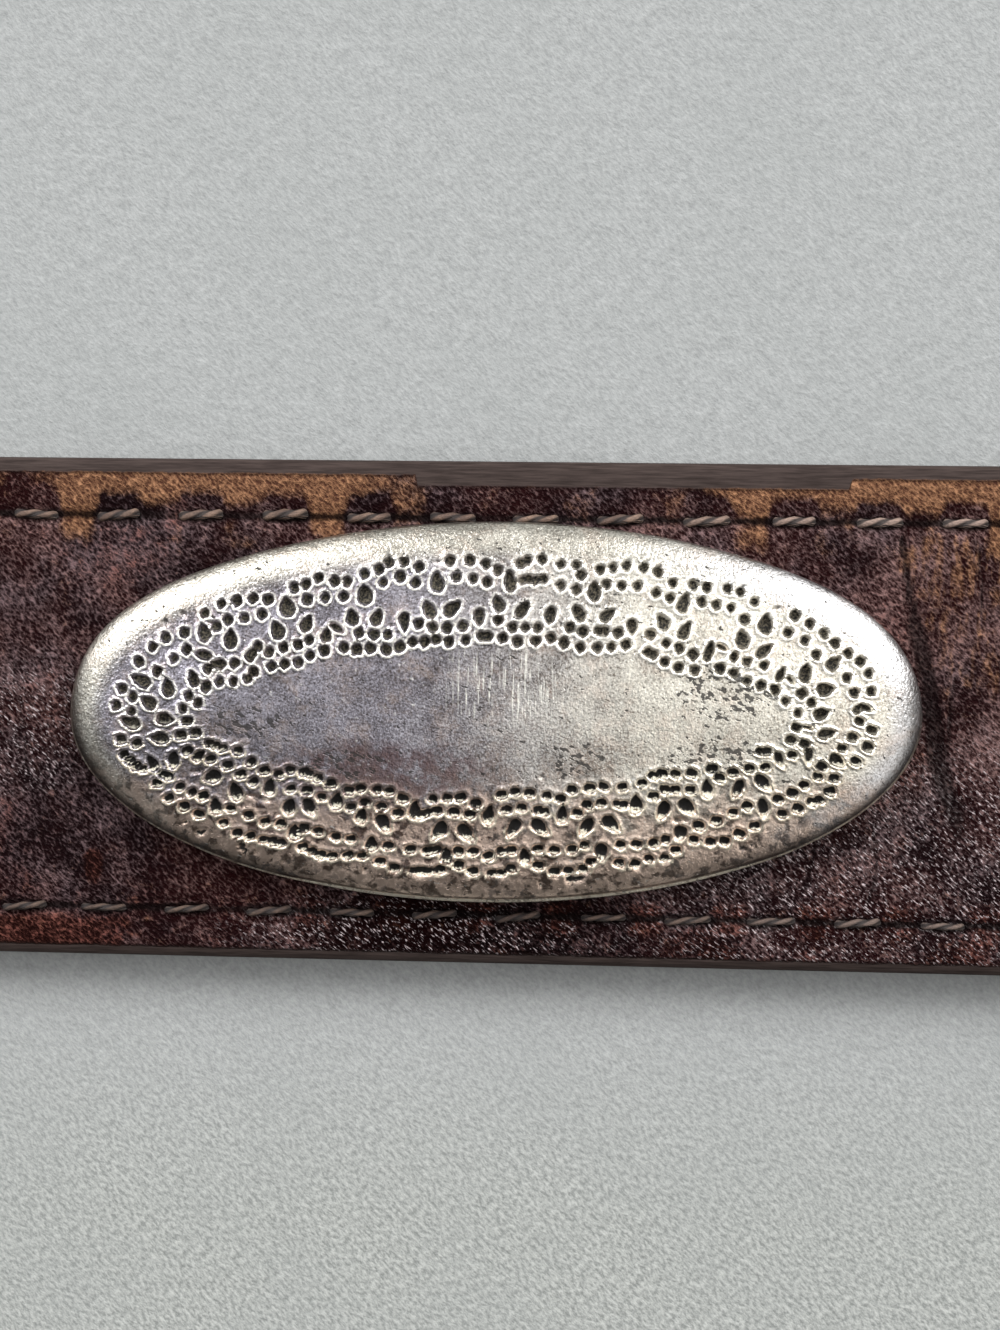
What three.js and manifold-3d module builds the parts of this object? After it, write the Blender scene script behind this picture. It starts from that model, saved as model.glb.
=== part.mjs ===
// A western belt laid out flat, face up, with one oval stamped concho at its middle.
// Millimetres, +Z up. X runs along the belt from the buckle to the tip, and Y across it.
// The origin lies under the middle of the belt, on the plane that the belt rests on.

import * as THREE from 'three';
import { mergeVertices } from 'three/addons/utils/BufferGeometryUtils.js';
import Module from 'manifold-3d';

const wasm = await Module();
wasm.setup();

// Belt sizes
const STRAP_WIDTH = 38.1;
const FOLD_TO_MIDDLE_HOLE = 914;
const HOLE_COUNT = 5;
const HOLE_SPACING = 25.4;
const HOLE_DIAMETER = 5;
const LAST_HOLE_TO_TIP = 76;
const TIP_LENGTH = 24;
const TAIL_LENGTH = 62;
const LAYER_GAP = 0.2;
const BACKING_THICKNESS = 1.8;
const TAIL_TO_BACKING = 0.5;
const FACE_BOTTOM = BACKING_THICKNESS + LAYER_GAP;

// Section of the face leather from its painted edge to its crown: inset from the edge, height over its
// underside
const FACE_SECTION = [
  { inset: 0, height: 0 },
  { inset: 0, height: 0.9 },
  { inset: 0.3, height: 1.4 },
  { inset: 1.2, height: 1.8 },
  { inset: 3.4, height: 1.9 },
  { inset: 4.0, height: 1.65 },
  { inset: 4.6, height: 1.9 },
  { inset: 6.5, height: 2.15 },
];
const FACE_CROWN = FACE_SECTION.at(-1).height;

// Section of the backing from its rounded lower edge up
const BACKING_SECTION = [
  { inset: 1.0, height: 0 },
  { inset: 0.3, height: 0.25 },
  { inset: 0, height: 0.8 },
  { inset: 0, height: BACKING_THICKNESS },
];

// Fold round the buckle's bar
const BAR_DIAMETER = 4;
const BAR_CLEARANCE = 0.3;
const FOLD_RADIUS = BAR_DIAMETER / 2 + BAR_CLEARANCE;
const TAIL_TOP = 1.65;
const TAIL_SKIVE = TAIL_TOP / FACE_CROWN;
const BAR_HEIGHT = TAIL_TOP + FOLD_RADIUS;
const RISE_LENGTH = 26;
const PRONG_SLOT_WIDTH = 9;
const PRONG_SLOT_REACH = 13;

// Buckle
const BUCKLE_INSIDE_WIDTH = 41;
const BUCKLE_REACH = 38;
const BUCKLE_RAIL_WIDTH = 5.4;
const BUCKLE_RAIL_HEIGHT = 3.8;
const BUCKLE_CORNER = 9;
const PRONG_DIAMETER = 3.6;
const PRONG_EYE_DIAMETER = 7.4;
const PRONG_EYE_WIDTH = 6.4;
const PRONG_STOP = 0.8;
const PRONG_SINK = 0.4;
const PRONG_TIP_DROP = 0.3;
const PRONG_TIP_LENGTH = 4;
const PRONG_ROOT_RISE = 1.4;
const PRONG_BEND = { reach: 6, rise: 2 };
const PRONG_SLOPE = { reach: 20, share: 0.4 };
const BUCKLE_NEAR_CORNER = 3;

// Concho
const CONCHO_HALF_LENGTH = 31.8;
const CONCHO_HALF_WIDTH = 14.1;
const CONCHO_TURN = 0.8;
const CONCHO_WALL = 1.2;
const RIM_EDGE = 0.12;
const RIM_EDGE_HEIGHT = 0.6;
const RIM_ROLL = 2.6;
const RIM_ROLL_HEIGHT = 1.3;
const DOME_RISE = 1.5;
const CONCHO_LIFT = 0.3;
const CONCHO_BASE = FACE_BOTTOM + FACE_CROWN + CONCHO_LIFT;
const BOSS_DIAMETER = 7.2;

// The oval's upper edge stands out a little, most of all at its two shoulders
const TOP_BULGE = 0.33;
const LEFT_SHOULDER = 0.8;
const RIGHT_SHOULDER = 0.6;
const BULGE_DEPTH = 6;

// Rings of the concho by distance inwards from its outline: under its hollow, round its foot, over its face
const HOLLOW_RINGS = [12.4, 8, 4.5, 2.6, 1.6];
const FOOT_RINGS = [
  { inset: 1.2, height: 0 },
  { inset: 0.15, height: 0 },
  { inset: 0, height: 0.2 },
];
const FACE_RINGS = [0.12, 0.45, 0.95, 1.7, 2.6, 6, 10, 12.6];

// Screw post behind the concho
const POST_DIAMETER = 5;
const POST_HEAD_DIAMETER = 10;
const POST_HEAD_THICKNESS = 0.9;
const POST_SLOT_WIDTH = 1.2;
const POST_SLOT_DEPTH = 0.5;
const POST_CLEARANCE = 0.3;

// Stamped border. Each mark lies where its punch struck, in millimetres from the concho's middle.
const PIT_DEPTH = 0.55;
const PIT_CLEARANCE = 0.35;
const DOT_SIZE = 0.82;
const DOTS = [
  // The outermost row, from the left end over the top to the right end
  [-27.77, 0.8], [-27.27, 2.05], [-26.55, 0.37], [-26.5, 1.45], [-26.02, 4.05], [-24.98, 5.14],
  [-24.02, 5.82], [-22.59, 6.2], [-21.11, 7.61], [-19.86, 8.32], [-18.7, 8.5], [-17.47, 8.7],
  [-16.36, 8.62], [-14.43, 9.5], [-13.56, 9.75], [-12.62, 10.23], [-11.41, 9.97], [-10.5, 9.95],
  [-9.23, 10.5], [-8.15, 10.86], [-7.45, 11.36], [-6.32, 11.38], [-5.18, 11.0], [-2.93, 11.47],
  [-1.47, 11.5], [-0.29, 11.2], [0.59, 10.77], [2.25, 11.25], [2.75, 11.5], [3.84, 11.55], [5.2, 11.2],
  [6.35, 11.09], [6.68, 10.44], [8.07, 10.84], [9.0, 10.93], [10.0, 11.1], [11.25, 10.93],
  [12.29, 10.62], [13.38, 9.84], [14.86, 9.68], [15.82, 9.5], [17.36, 9.41], [18.27, 9.2], [19.32, 8.45],
  [22.25, 7.45], [23.27, 6.84], [24.32, 6.14], [25.1, 5.44], [26.05, 4.71], [26.95, 4.14], [27.55, 3.27],
  [27.73, 1.95],
  // The second row of the upper half
  [-24.6, 3.35], [-23.35, 4.27], [-22.41, 4.93], [-20.23, 6.64], [-19.35, 7.14], [-18.1, 7.27],
  [-16.79, 7.56], [-13.45, 8.64], [-12.12, 8.75], [-10.77, 8.86], [-7.86, 9.86], [-6.56, 10.29],
  [-5.43, 9.85], [-2.44, 10.3], [-1.21, 10.16], [-0.2, 9.89], [2.4, 10.05], [2.85, 10.15], [3.4, 10.05],
  [3.95, 10.15], [5.2, 9.64], [6.34, 9.35], [8.53, 9.7], [9.64, 9.6], [10.77, 9.6], [12.14, 9.09],
  [13.14, 8.71], [15.45, 8.45], [16.5, 8.23], [17.59, 8.0], [18.56, 7.18], [21.7, 6.2], [22.9, 5.64],
  [23.73, 4.64], [25.95, 2.9], [26.5, 1.86],
  // The two inner rows of the upper half
  [-22.2, 1.55], [-21.5, 1.03], [-22.6, 0.6], [-22.3, -0.28], [-20.77, 3.55], [-20.3, 3.86],
  [-19.85, 3.86], [-18.75, 3.93], [-17.05, 5.2], [-16.23, 4.82], [-15.14, 5.11], [-14.05, 5.32],
  [-13.25, 5.65], [-9.55, 6.18], [-8.5, 6.07], [-7.45, 6.07], [-5.18, 6.86], [-4.18, 6.6], [-3.09, 6.55],
  [-1.95, 6.68], [0.64, 7.1], [1.68, 6.6], [2.64, 6.59], [3.55, 6.56], [5.9, 6.59], [6.8, 6.29],
  [8.0, 6.32], [8.4, 6.32], [9.38, 6.2], [11.73, 6.07], [12.86, 5.41], [13.82, 5.05], [14.8, 4.65],
  [17.77, 4.45], [18.73, 4.1], [19.95, 3.82], [20.73, 2.1], [22.63, 1.82], [23.38, 1.17], [-20.9, 2.25],
  [-19.9, 2.6], [-18.86, 2.6], [-17.8, 2.8], [-17.35, 3.3], [-16.0, 3.75], [-15.04, 3.88],
  [-14.04, 4.03], [-13.2, 4.5], [-12.12, 4.88], [-10.68, 5.11], [-9.73, 4.98], [-8.73, 5.05],
  [-7.55, 4.95], [-6.6, 5.16], [-5.6, 5.53], [-4.73, 5.56], [-3.9, 5.68], [-2.95, 5.55], [-1.73, 5.65],
  [-0.5, 5.95], [-0.1, 5.97], [1.0, 5.82], [2.05, 5.53], [3.38, 5.59], [4.5, 5.82], [5.45, 5.47],
  [6.62, 5.11], [7.88, 5.11], [8.9, 5.14], [9.95, 5.32], [11.55, 4.8], [11.9, 4.62], [12.77, 4.1],
  [13.75, 3.68], [14.93, 3.5], [16.75, 3.62], [17.73, 3.27], [18.7, 2.73], [19.73, 2.38], [21.45, 1.27],
  [22.4, 0.4], [22.3, -0.62],
  // The two inner rows of the lower half
  [-21.7, -1.18], [-22.86, -1.36], [-22.36, -2.5], [-20.64, -1.95], [-20.2, -2.1], [-19.7, -2.3],
  [-18.55, -2.5], [-17.6, -3.3], [-16.6, -3.95], [-15.55, -4.2], [-14.7, -3.9], [-13.6, -4.02],
  [-13.2, -4.2], [-12.6, -4.5], [-11.7, -4.88], [-10.36, -5.4], [-9.5, -5.2], [-8.27, -5.33],
  [-7.35, -5.45], [-6.34, -5.97], [-4.14, -6.0], [-3.1, -5.88], [-2.1, -5.83], [-1.0, -6.3],
  [0.9, -5.68], [1.9, -5.42], [2.95, -5.5], [4.23, -5.7], [5.2, -5.9], [6.05, -5.24], [7.36, -5.13],
  [8.36, -5.0], [9.68, -5.05], [11.14, -4.75], [11.95, -4.2], [12.6, -4.05], [13.55, -4.05],
  [14.73, -4.0], [16.18, -3.7], [16.77, -4.3], [17.73, -3.95], [18.95, -3.65], [20.05, -3.5],
  [19.75, -2.4], [20.15, -2.38], [21.9, -1.55], [22.9, -1.85], [22.0, -2.65], [-20.6, -3.15],
  [-19.36, -3.6], [-18.38, -4.25], [-17.45, -4.78], [-14.64, -5.28], [-13.45, -5.4], [-12.4, -5.9],
  [-10.2, -6.65], [-9.2, -6.3], [-7.93, -6.6], [-6.73, -7.07], [-5.1, -7.25], [-4.6, -7.05],
  [-3.86, -6.83], [-2.6, -6.95], [-1.45, -7.13], [1.23, -6.73], [2.38, -6.6], [3.6, -6.73], [4.0, -6.9],
  [6.45, -6.96], [7.14, -6.36], [8.18, -6.2], [9.4, -6.3], [9.75, -6.35], [12.0, -5.7], [12.8, -5.2],
  [13.55, -5.2], [14.65, -5.2],
  // The two outer rows of the lower half
  [-27.45, -1.73], [-26.23, -2.0], [-27.2, -2.85], [-26.8, -3.3], [-26.3, -3.7], [-25.8, -3.95],
  [-24.3, -4.3], [-23.9, -4.45], [-24.75, -5.0], [-23.0, -5.25], [-22.1, -5.65], [-21.25, -5.9],
  [-19.2, -6.85], [-17.85, -7.3], [-16.65, -7.82], [-15.45, -7.92], [-13.77, -8.25], [-12.7, -8.45],
  [-11.4, -8.9], [-10.27, -9.05], [-7.5, -9.52], [-5.9, -9.8], [-4.55, -9.85], [-3.9, -9.8],
  [-2.3, -9.87], [-1.2, -9.9], [-0.1, -10.25], [0.8, -9.87], [1.6, -9.77], [3.55, -9.65], [4.77, -9.77],
  [6.05, -9.7], [6.95, -9.35], [9.6, -9.37], [10.75, -9.28], [12.05, -9.2], [12.9, -8.9], [14.95, -8.95],
  [15.3, -7.9], [16.6, -7.5], [17.77, -6.9], [18.8, -6.4], [16.18, -9.08], [17.2, -9.03], [18.27, -8.48],
  [19.36, -7.9], [21.05, -5.9], [22.1, -5.45], [22.9, -4.85], [23.9, -4.2], [24.14, -3.5], [25.6, -2.2],
  [26.36, -1.4], [26.86, -0.2], [-23.9, -6.1], [-22.75, -6.7], [-21.65, -7.3], [-19.8, -7.9],
  [-18.77, -8.68], [-17.8, -8.9], [-16.8, -9.15], [-16.15, -9.28], [-15.5, -9.38], [-13.85, -9.7],
  [-13.25, -10.0], [-12.55, -10.28], [-11.7, -10.33], [-10.5, -10.28], [-9.45, -10.3], [-8.15, -10.72],
  [-7.1, -11.2], [-5.65, -11.4], [-5.1, -11.4], [-4.5, -11.4], [-3.7, -11.3], [-2.3, -10.95],
  [-1.25, -11.38], [0.15, -11.55], [0.85, -11.52], [1.55, -11.15], [3.55, -10.92], [4.77, -11.4],
  [5.77, -11.3], [6.86, -11.18], [7.4, -10.62], [9.5, -10.72], [10.7, -10.77], [11.68, -10.35],
  [12.86, -10.3], [13.64, -9.7], [21.36, -7.0], [22.5, -6.6], [23.55, -6.1], [24.05, -5.95],
  [24.8, -5.35], [25.1, -4.4], [26.7, -3.15], [27.5, -2.1], [27.8, -0.86],
];
// Drops and leaves: place, the way the point looks in degrees from +X, length and width
const DROPS = [
  // The left end
  [-25.85, 2.65, 155, 1.65, 0.95], [-21.11, 6.18, 105, 1.4, 1.05], [-19.11, 5.73, 92, 1.5, 1.05],
  [-21.18, 4.55, 165, 1.5, 0.7], [-23.77, 2.15, 105, 1.45, 1.0], [-21.85, 2.8, 115, 1.3, 0.85],
  [-25.25, 1.05, 150, 1.35, 1.0], [-26.7, -0.45, 160, 1.7, 1.0], [-23.95, -0.15, -5, 1.4, 0.95],
  [-24.45, -1.6, 170, 1.55, 0.9], [-17.5, 4.64, 60, 1.2, 0.8], [-23.45, -3.3, 265, 1.5, 0.95],
  [-21.5, -2.85, 30, 1.2, 0.8], [-25.05, -3.5, 125, 1.5, 0.9], [-20.55, -4.45, 200, 1.5, 1.05],
  // Drops of the upper half, then its leaves
  [-14.93, 8.1, 100, 1.55, 1.2], [-9.18, 9.0, 95, 1.55, 1.2], [-3.84, 9.95, 92, 1.65, 1.1],
  [1.48, 10.0, 95, 1.65, 0.95], [7.65, 9.25, 88, 1.6, 1.0], [14.15, 8.4, 70, 1.65, 0.95],
  [20.1, 6.85, 80, 1.6, 1.1], [25.0, 4.0, 50, 1.4, 0.95], [-15.64, 6.41, 115, 1.45, 1.05],
  [-13.45, 6.86, 65, 1.4, 0.9], [-12.0, 6.0, 75, 1.2, 0.85], [-11.18, 6.52, -25, 1.3, 0.5],
  [-10.09, 7.32, 110, 1.35, 0.95], [-8.26, 7.32, 65, 1.35, 0.9], [-6.23, 6.95, 270, 1.55, 0.8],
  [-4.45, 7.9, 115, 1.5, 1.0], [-2.7, 7.97, 45, 1.6, 0.95], [-0.75, 7.35, 270, 1.35, 0.9],
  [0.66, 8.33, 115, 1.35, 0.95], [2.43, 7.9, 55, 1.55, 0.9], [4.43, 7.4, 265, 1.4, 0.95],
  [6.5, 7.65, 120, 1.45, 0.95], [8.6, 7.5, 40, 1.45, 0.85], [10.4, 6.6, 265, 1.3, 0.9],
  [12.6, 7.0, 115, 1.45, 0.95], [14.23, 6.38, 55, 1.6, 0.9], [16.0, 4.85, 75, 1.65, 0.7],
  [17.0, 5.12, -25, 1.2, 0.42], [18.38, 5.75, 100, 1.45, 1.1], [19.95, 4.9, 35, 1.5, 0.8],
  // The right end
  [21.15, 3.2, 60, 1.25, 0.7], [21.9, 2.75, -45, 0.95, 0.45], [22.95, 3.3, 82, 1.5, 0.95],
  [24.4, 2.1, 10, 1.4, 1.0], [24.1, 0.36, 20, 1.3, 0.9], [26.75, 0.7, 60, 1.0, 0.7],
  [27.35, 0.75, -25, 1.3, 0.5], [23.1, -0.62, -10, 1.0, 0.35], [24.5, -1.1, 15, 1.5, 0.8],
  [21.1, -3.0, 290, 1.35, 0.75], [23.2, -2.75, 275, 1.4, 0.75], [25.3, -3.1, 320, 1.5, 1.0],
  // Drops of the lower half, then its leaves
  [-20.35, -6.65, 100, 1.4, 1.0], [-14.45, -8.55, 90, 1.35, 1.1], [-8.75, -9.35, 90, 1.3, 1.05],
  [-3.2, -10.2, 100, 1.4, 1.0], [2.57, -10.2, 95, 1.5, 0.88], [8.22, -9.9, 270, 1.45, 1.0],
  [13.95, -8.45, 250, 1.25, 1.05], [19.97, -6.6, 285, 1.6, 0.85], [-18.78, -5.5, 110, 1.5, 1.05],
  [-16.25, -5.15, 75, 1.5, 0.95], [-14.8, -6.6, 70, 1.35, 1.0], [-13.3, -6.7, 300, 1.6, 0.95],
  [-11.25, -6.15, 80, 1.4, 1.0], [-9.42, -7.25, 80, 1.35, 0.9], [-7.82, -7.85, 300, 1.65, 1.05],
  [-5.5, -6.8, 85, 1.5, 0.95], [-3.75, -8.4, 235, 1.75, 1.05], [-1.72, -8.55, 315, 1.75, 1.05],
  [-0.05, -7.15, 78, 1.65, 0.95], [1.72, -8.15, 235, 1.7, 0.95], [3.72, -8.05, 315, 1.75, 0.95],
  [5.35, -7.0, 85, 1.7, 0.85], [7.05, -8.05, 240, 1.65, 0.95], [8.93, -7.8, 315, 1.75, 1.0],
  [10.72, -6.3, 88, 1.6, 1.05], [12.7, -6.8, 250, 1.65, 0.95], [14.47, -6.5, 315, 1.65, 1.0],
  [15.87, -5.1, 90, 1.55, 0.9], [18.1, -5.15, 245, 1.55, 0.85], [19.97, -4.7, 318, 1.65, 0.95],
];
// Outline of a drop with its point towards +Y, in shares of its width and length
const DROP_OUTLINE = [[0, 0.5], [-0.42, 0], [-0.38, -0.3], [0, -0.5], [0.38, -0.3], [0.42, 0]];

// How finely the round and curved forms are divided
const CONCHO_SIDES = 48;
const HOLE_SIDES = 12;
const SLOT_END_SIDES = 16;
const POST_SIDES = 16;
const POST_HOLE_SIDES = 20;
const HEAD_SIDES = 24;
const BOSS_SIDES = 20;
const EYE_SIDES = 20;
const PRONG_SIDES = 10;
const PRONG_STEPS = 12;
const FRAME_SIDES = 8;
const NEAR_CORNER_STEPS = 4;
const FAR_CORNER_STEPS = 6;
const TIP_STEPS = 8;
const FOLD_STEPS = 8;
const RISE_STEPS = 6;
const RUN_STEPS = 6;

// Cutters run past the surfaces that they open
const CUTTER_OVERRUN = 2;
const SLOT_OVERRUN = 6;
const SLOT_CUTTER_HEIGHT = 30;

// Places along the belt
const STRAP_LENGTH = FOLD_TO_MIDDLE_HOLE + HOLE_SPACING * (HOLE_COUNT - 1) / 2 + LAST_HOLE_TO_TIP;
const TIP_X = (STRAP_LENGTH + BUCKLE_REACH) / 2;
const BAR_X = TIP_X - STRAP_LENGTH;
const TAIL_END_X = BAR_X + TAIL_LENGTH;
const BACKING_END_X = TAIL_END_X + TAIL_TO_BACKING;
const MIDDLE_HOLE_X = BAR_X + FOLD_TO_MIDDLE_HOLE;
const FIRST_HOLE_X = MIDDLE_HOLE_X - HOLE_SPACING * (HOLE_COUNT - 1) / 2;
const HOLE_XS = Array.from({ length: HOLE_COUNT }, (_, i) => FIRST_HOLE_X + i * HOLE_SPACING);

const radians = THREE.MathUtils.degToRad;
const lerp = THREE.MathUtils.lerp;

// Turns a closed three.js geometry into a solid
function solid(geometry) {
  const bare = geometry.clone();
  bare.deleteAttribute('normal');
  bare.deleteAttribute('uv');
  const merged = mergeVertices(bare, 1e-4);
  return new wasm.Manifold(new wasm.Mesh({
    numProp: 3,
    vertProperties: Float32Array.from(merged.attributes.position.array),
    triVerts: Uint32Array.from(merged.index.array),
  }));
}

// Turns a solid back into a three.js geometry
function geometryOf(body) {
  const mesh = body.getMesh();
  const geometry = new THREE.BufferGeometry();
  geometry.setAttribute('position', new THREE.BufferAttribute(mesh.vertProperties, 3));
  geometry.setIndex(new THREE.BufferAttribute(mesh.triVerts, 1));
  const faceted = geometry.toNonIndexed();
  faceted.computeVertexNormals();
  return faceted;
}

// Skins rings of equal count, each counter-clockwise from above. The first and last ring mirror themselves
// across the X axis, so both ends close with strips between mirrored points.
function loftRings(rings) {
  const count = rings[0].length;
  const triangles = [];
  for (let r = 0; r + 1 < rings.length; r++) {
    for (let j = 0; j < count; j++) {
      const next = (j + 1) % count;
      const a = r * count + j;
      const b = r * count + next;
      triangles.push(a, b, b + count, a, b + count, a + count);
    }
  }
  const top = (rings.length - 1) * count;
  for (let j = 0; j + 1 < count / 2; j++) {
    const mirror = count - 1 - j;
    triangles.push(j, mirror, mirror - 1, j, mirror - 1, j + 1);
    triangles.push(top + j, top + mirror - 1, top + mirror, top + j, top + j + 1, top + mirror - 1);
  }
  const geometry = new THREE.BufferGeometry().setFromPoints(rings.flat());
  geometry.setIndex(triangles);
  return geometry;
}

// Plan outline of a strap that ends square at startX and in the round tip at TIP_X,
// with the direction in which each point moves when the outline is drawn inwards
function strapOutline(startX, stations) {
  const half = STRAP_WIDTH / 2;
  const side = [{ x: startX, y: -half, inX: 1, inY: 1 }];
  for (const x of stations) {
    side.push({ x, y: -half, inX: 0, inY: 1 });
  }
  for (let i = 0; i < TIP_STEPS; i++) {
    const angle = (i + 0.5) / TIP_STEPS * Math.PI / 2;
    const normal = new THREE.Vector2(Math.sin(angle) / TIP_LENGTH, Math.cos(angle) / half).normalize();
    side.push({
      x: TIP_X - TIP_LENGTH + TIP_LENGTH * Math.sin(angle),
      y: -half * Math.cos(angle),
      inX: -normal.x,
      inY: normal.y,
    });
  }
  const mirrored = side.map((p) => ({ x: p.x, y: -p.y, inX: p.inX, inY: -p.inY })).reverse();
  return side.concat(mirrored);
}

function strapRings(outline, section, place) {
  return section.map(({ inset, height }) =>
    outline.map((p) => place(p.x + p.inX * inset, p.y + p.inY * inset, height)));
}

// The face leather lies flat, rises to the bar, turns round it and comes back below as a skived tail.
// Flat x runs on past the bar along the leather's underside.
function foldedPlace(x, y, height) {
  if (x >= BAR_X + RISE_LENGTH) {
    return new THREE.Vector3(x, y, FACE_BOTTOM + height);
  }
  if (x >= BAR_X) {
    const rise = BAR_HEIGHT + FOLD_RADIUS - FACE_BOTTOM;
    const share = (BAR_X + RISE_LENGTH - x) / RISE_LENGTH;
    const base = FACE_BOTTOM + rise * share * share * (3 - 2 * share);
    const slope = -rise * 6 * share * (1 - share) / RISE_LENGTH;
    const normal = new THREE.Vector2(-slope, 1).normalize();
    return new THREE.Vector3(x + normal.x * height, y, base + normal.y * height);
  }
  const turned = (BAR_X - x) / FOLD_RADIUS;
  if (turned < Math.PI) {
    const thinning = lerp(1, TAIL_SKIVE, turned / Math.PI);
    const radius = FOLD_RADIUS + height * thinning;
    return new THREE.Vector3(BAR_X - radius * Math.sin(turned), y, BAR_HEIGHT + radius * Math.cos(turned));
  }
  const tailX = BAR_X + (BAR_X - Math.PI * FOLD_RADIUS - x);
  return new THREE.Vector3(tailX, y, TAIL_TOP - height * TAIL_SKIVE);
}

function upright(diameter, bottom, top, sides, x = 0, y = 0) {
  const geometry = new THREE.CylinderGeometry(diameter / 2, diameter / 2, top - bottom, sides);
  geometry.rotateX(Math.PI / 2);
  geometry.translate(x, y, (bottom + top) / 2);
  return solid(geometry);
}

function evenSteps(from, to, count) {
  return Array.from({ length: count + 1 }, (_, i) => lerp(from, to, i / count));
}

function prongHoles() {
  const top = FACE_BOTTOM + FACE_CROWN + CUTTER_OVERRUN;
  const cutter = (x) => upright(HOLE_DIAMETER, -CUTTER_OVERRUN, top, HOLE_SIDES, x);
  return wasm.Manifold.union(HOLE_XS.map(cutter));
}

// The slot through the fold that lets the prong turn on the bar
function prongSlot() {
  const length = PRONG_SLOT_REACH + SLOT_OVERRUN;
  const slot = new THREE.BoxGeometry(length, PRONG_SLOT_WIDTH, SLOT_CUTTER_HEIGHT);
  slot.translate(BAR_X + PRONG_SLOT_REACH - length / 2, 0, 0);
  const half = SLOT_CUTTER_HEIGHT / 2;
  const roundEnd = upright(PRONG_SLOT_WIDTH, -half, half, SLOT_END_SIDES, BAR_X + PRONG_SLOT_REACH);
  return solid(slot).add(roundEnd);
}

function postHole() {
  const top = FACE_BOTTOM + FACE_CROWN + CUTTER_OVERRUN;
  return upright(POST_DIAMETER + 2 * POST_CLEARANCE, -CUTTER_OVERRUN, top, POST_HOLE_SIDES);
}

function makeStrapFace() {
  const foldEnd = BAR_X - Math.PI * FOLD_RADIUS;
  const tailEnd = foldEnd - TAIL_LENGTH;
  const sectionDepth = FACE_SECTION.at(-1).inset;
  const stations = [
    tailEnd + sectionDepth + 1,
    ...evenSteps(foldEnd, BAR_X, FOLD_STEPS),
    ...evenSteps(BAR_X, BAR_X + RISE_LENGTH, RISE_STEPS).slice(1),
    ...evenSteps(BAR_X + RISE_LENGTH, TIP_X - TIP_LENGTH, RUN_STEPS).slice(1, -1),
  ];
  const outline = strapOutline(tailEnd, stations);
  const leather = solid(loftRings(strapRings(outline, FACE_SECTION, foldedPlace)));
  return leather.subtract(prongSlot()).subtract(prongHoles()).subtract(postHole());
}

function makeStrapBacking() {
  const stations = evenSteps(BACKING_END_X, TIP_X - TIP_LENGTH, RUN_STEPS).slice(1, -1);
  const outline = strapOutline(BACKING_END_X, stations);
  const flat = (x, y, height) => new THREE.Vector3(x, y, height);
  const leather = solid(loftRings(strapRings(outline, BACKING_SECTION, flat)));
  const recessTop = POST_HEAD_THICKNESS + POST_CLEARANCE;
  const recessDiameter = POST_HEAD_DIAMETER + 2 * POST_CLEARANCE;
  const headRecess = upright(recessDiameter, -CUTTER_OVERRUN, recessTop, HEAD_SIDES);
  return leather.subtract(prongHoles()).subtract(postHole()).subtract(headRecess);
}

// Height of the concho's face over its base, at a distance inwards from its outline: a low steep edge, a rim
// that rolls over and a shallow dome
function conchoHeight(inset) {
  const edge = 1 - Math.min(inset / RIM_EDGE, 1);
  const roll = 1 - Math.min(inset / RIM_ROLL, 1);
  const dome = 1 - Math.min(inset / CONCHO_HALF_WIDTH, 1);
  const rim = RIM_EDGE_HEIGHT * Math.sqrt(1 - edge * edge) + RIM_ROLL_HEIGHT * Math.sqrt(1 - roll * roll);
  return rim + DOME_RISE * (1 - dome * dome);
}

// How far inside the concho's outline a point lies, found by halving
function insetAt(x, y) {
  let low = 0;
  let high = CONCHO_HALF_WIDTH - 0.01;
  for (let i = 0; i < 30; i++) {
    const inset = (low + high) / 2;
    const inside = (x / (CONCHO_HALF_LENGTH - inset)) ** 2 + (y / (CONCHO_HALF_WIDTH - inset)) ** 2 < 1;
    if (inside) {
      low = inset;
    } else {
      high = inset;
    }
  }
  return low;
}

// How far the outline stands out in Y at an angle of the oval. SHOULDER_PEAK is the greatest value that the
// cosine's fifth power times the sine takes.
const SHOULDER_PEAK = (5 / 6) ** 2.5 * (1 / 6) ** 0.5;
function bulge(angle) {
  const along = Math.cos(angle);
  const up = Math.max(Math.sin(angle), 0);
  const shoulder = along < 0 ? LEFT_SHOULDER : RIGHT_SHOULDER;
  return up * (TOP_BULGE + shoulder * Math.abs(along) ** 5 / SHOULDER_PEAK);
}

function conchoRing(inset, height) {
  const halfLength = CONCHO_HALF_LENGTH - inset;
  const halfWidth = CONCHO_HALF_WIDTH - inset;
  const share = Math.max(0, 1 - inset / BULGE_DEPTH);
  return Array.from({ length: CONCHO_SIDES }, (_, j) => {
    const angle = 2 * Math.PI * (j + 0.5) / CONCHO_SIDES;
    const y = halfWidth * Math.sin(angle) + share * bulge(angle);
    return new THREE.Vector3(halfLength * Math.cos(angle), y, CONCHO_BASE + height);
  });
}

function conchoShell() {
  const hollow = HOLLOW_RINGS.map((inset) => conchoRing(inset, conchoHeight(inset) - CONCHO_WALL));
  const foot = FOOT_RINGS.map(({ inset, height }) => conchoRing(inset, height));
  const face = FACE_RINGS.map((inset) => conchoRing(inset, conchoHeight(inset)));
  return solid(loftRings([...hollow, ...foot, ...face]));
}

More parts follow.
